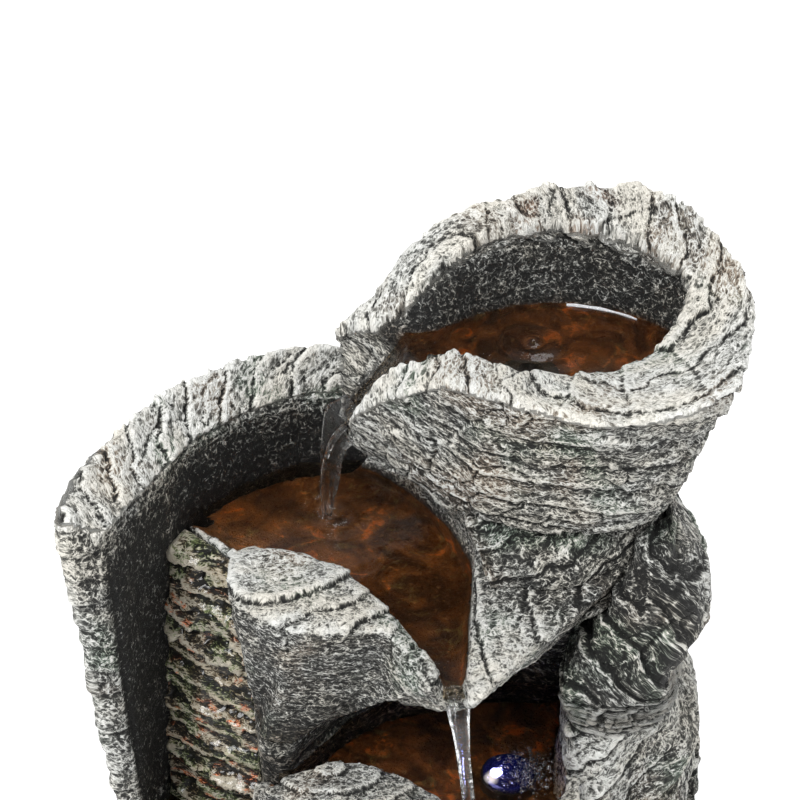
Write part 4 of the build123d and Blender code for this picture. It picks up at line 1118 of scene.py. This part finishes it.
FINISH = {
    "pump_body": plastic("pump_black", (0.018, 0.019, 0.021), (0.030, 0.031, 0.034), 0.42).m,
    "pump_volute": plastic("pump_black_b", (0.020, 0.021, 0.023), (0.034, 0.035, 0.037), 0.38).m,
    "pump_impeller": plastic("impeller_white", (0.62, 0.62, 0.58), (0.70, 0.69, 0.64), 0.34, spots=0.2).m,
    "magnet_rotor": plastic("ferrite", (0.045, 0.044, 0.046), (0.075, 0.073, 0.074), 0.40, grain=5200.0, bump=0.0001, metal=0.6, spots=0.5).m,
    "rotor_shaft": plastic("steel", (0.60, 0.61, 0.62), (0.70, 0.71, 0.72), 0.22, stretch=(0.06, 1.0, 1.0), metal=1.0).m,
    "shaft_bushes": plastic("rubber_bush", (0.020, 0.020, 0.020), (0.035, 0.034, 0.033), 0.62, spots=0.2).m,
    "intake_grille": plastic("grille_black", (0.022, 0.023, 0.025), (0.036, 0.037, 0.039), 0.40).m,
    "flow_gate": plastic("gate_black", (0.026, 0.027, 0.029), (0.040, 0.041, 0.043), 0.36).m,
    "suction_cups": plastic("rubber_cup", (0.024, 0.024, 0.024), (0.040, 0.039, 0.038), 0.50, spots=0.15).m,
    "cable_gland": plastic("rubber_gland", (0.022, 0.022, 0.022), (0.040, 0.039, 0.038), 0.58, spots=0.2).m,
    "foot_pads": plastic("pad_rubber", (0.030, 0.029, 0.028), (0.048, 0.046, 0.044), 0.66, grain=1800.0, spots=0.3).m,
    "riser_tube": tube_material(),
    "bowl_nozzle": plastic("nozzle_black", (0.025, 0.024, 0.023), (0.045, 0.036, 0.028), 0.40, spots=0.3).m,
    "lamp_housing": plastic("lamp_black", (0.014, 0.014, 0.016), (0.028, 0.026, 0.030), 0.36).m,
    "lamp_board": board_material(),
    "lamp_lens": lens_material(),
}
for name, mat in FINISH.items():
    mesh = NODES[name].data
    mesh.materials.clear()
    mesh.materials.append(mat)

lamp = bpy.data.lights.new("lamp_glow", "POINT")
lamp.energy = 0.007
lamp.color = (0.30, 0.34, 1.0)
lamp.shadow_soft_size = 0.004
lamp_obj = bpy.data.objects.new("lamp_glow", lamp)
scene.collection.objects.link(lamp_obj)
lamp_obj.location = (0.034, -0.037, 0.1035)

# =====================================================================
# camera, floor, light
# =====================================================================

cam_data = bpy.data.cameras.new("camera")
cam = bpy.data.objects.new("camera", cam_data)
scene.collection.objects.link(cam)
pitch = math.radians(35.0)
target = Vector((-0.0035, -0.015, 0.265))
cam.location = target + Vector((0, -math.cos(pitch), math.sin(pitch))) * 0.680
cam.rotation_euler = (math.radians(90) - pitch, 0, 0)
cam_data.sensor_width = 36.0
cam_data.lens = 1938.0 / 800.0 * 36.0
cam_data.clip_start, cam_data.clip_end = 0.01, 50.0
scene.camera = cam

floor_mesh = bpy.data.meshes.new("floor")
bm = bmesh.new()
bmesh.ops.create_grid(bm, x_segments=8, y_segments=8, size=6.0)
bm.to_mesh(floor_mesh)
bm.free()
floor = bpy.data.objects.new("floor", floor_mesh)
scene.collection.objects.link(floor)
F = Tree("floor_pale")
F.bsdf.inputs["Base Color"].default_value = rgb(0.50, 0.50, 0.50)
F.bsdf.inputs["Roughness"].default_value = 0.7
F.bsdf.inputs["Emission Color"].default_value = rgb(1, 1, 1)
F.bsdf.inputs["Emission Strength"].default_value = 0.74
floor_mesh.materials.append(F.m)

world = bpy.data.worlds.new("studio")
scene.world = world
world.use_nodes = True
bg = world.node_tree.nodes["Background"]
bg.inputs[0].default_value = (1.0, 1.0, 1.0, 1.0)
bg.inputs[1].default_value = 0.50


def area(name, where, to, size, power, colour=(1, 1, 1)):
    light = bpy.data.lights.new(name, "AREA")
    light.shape = "RECTANGLE"
    light.size, light.size_y = size
    light.energy = power
    light.color = colour
    o = bpy.data.objects.new(name, light)
    scene.collection.objects.link(o)
    o.location = where
    o.rotation_euler = (Vector(to) - Vector(where)).to_track_quat("-Z", "Y").to_euler()
    return o


area("key", (-0.75, -0.65, 1.45), (0, 0, 0.2), (0.7, 0.7), 23.0)
area("fill", (0.95, -0.8, 0.9), (0, 0, 0.2), (0.9, 0.9), 5.5)
area("rim", (0.5, 0.85, 1.9), (0, 0, 0.2), (0.9, 0.5), 7.0)

scene.view_settings.view_transform = "Standard"
scene.view_settings.look = "None"
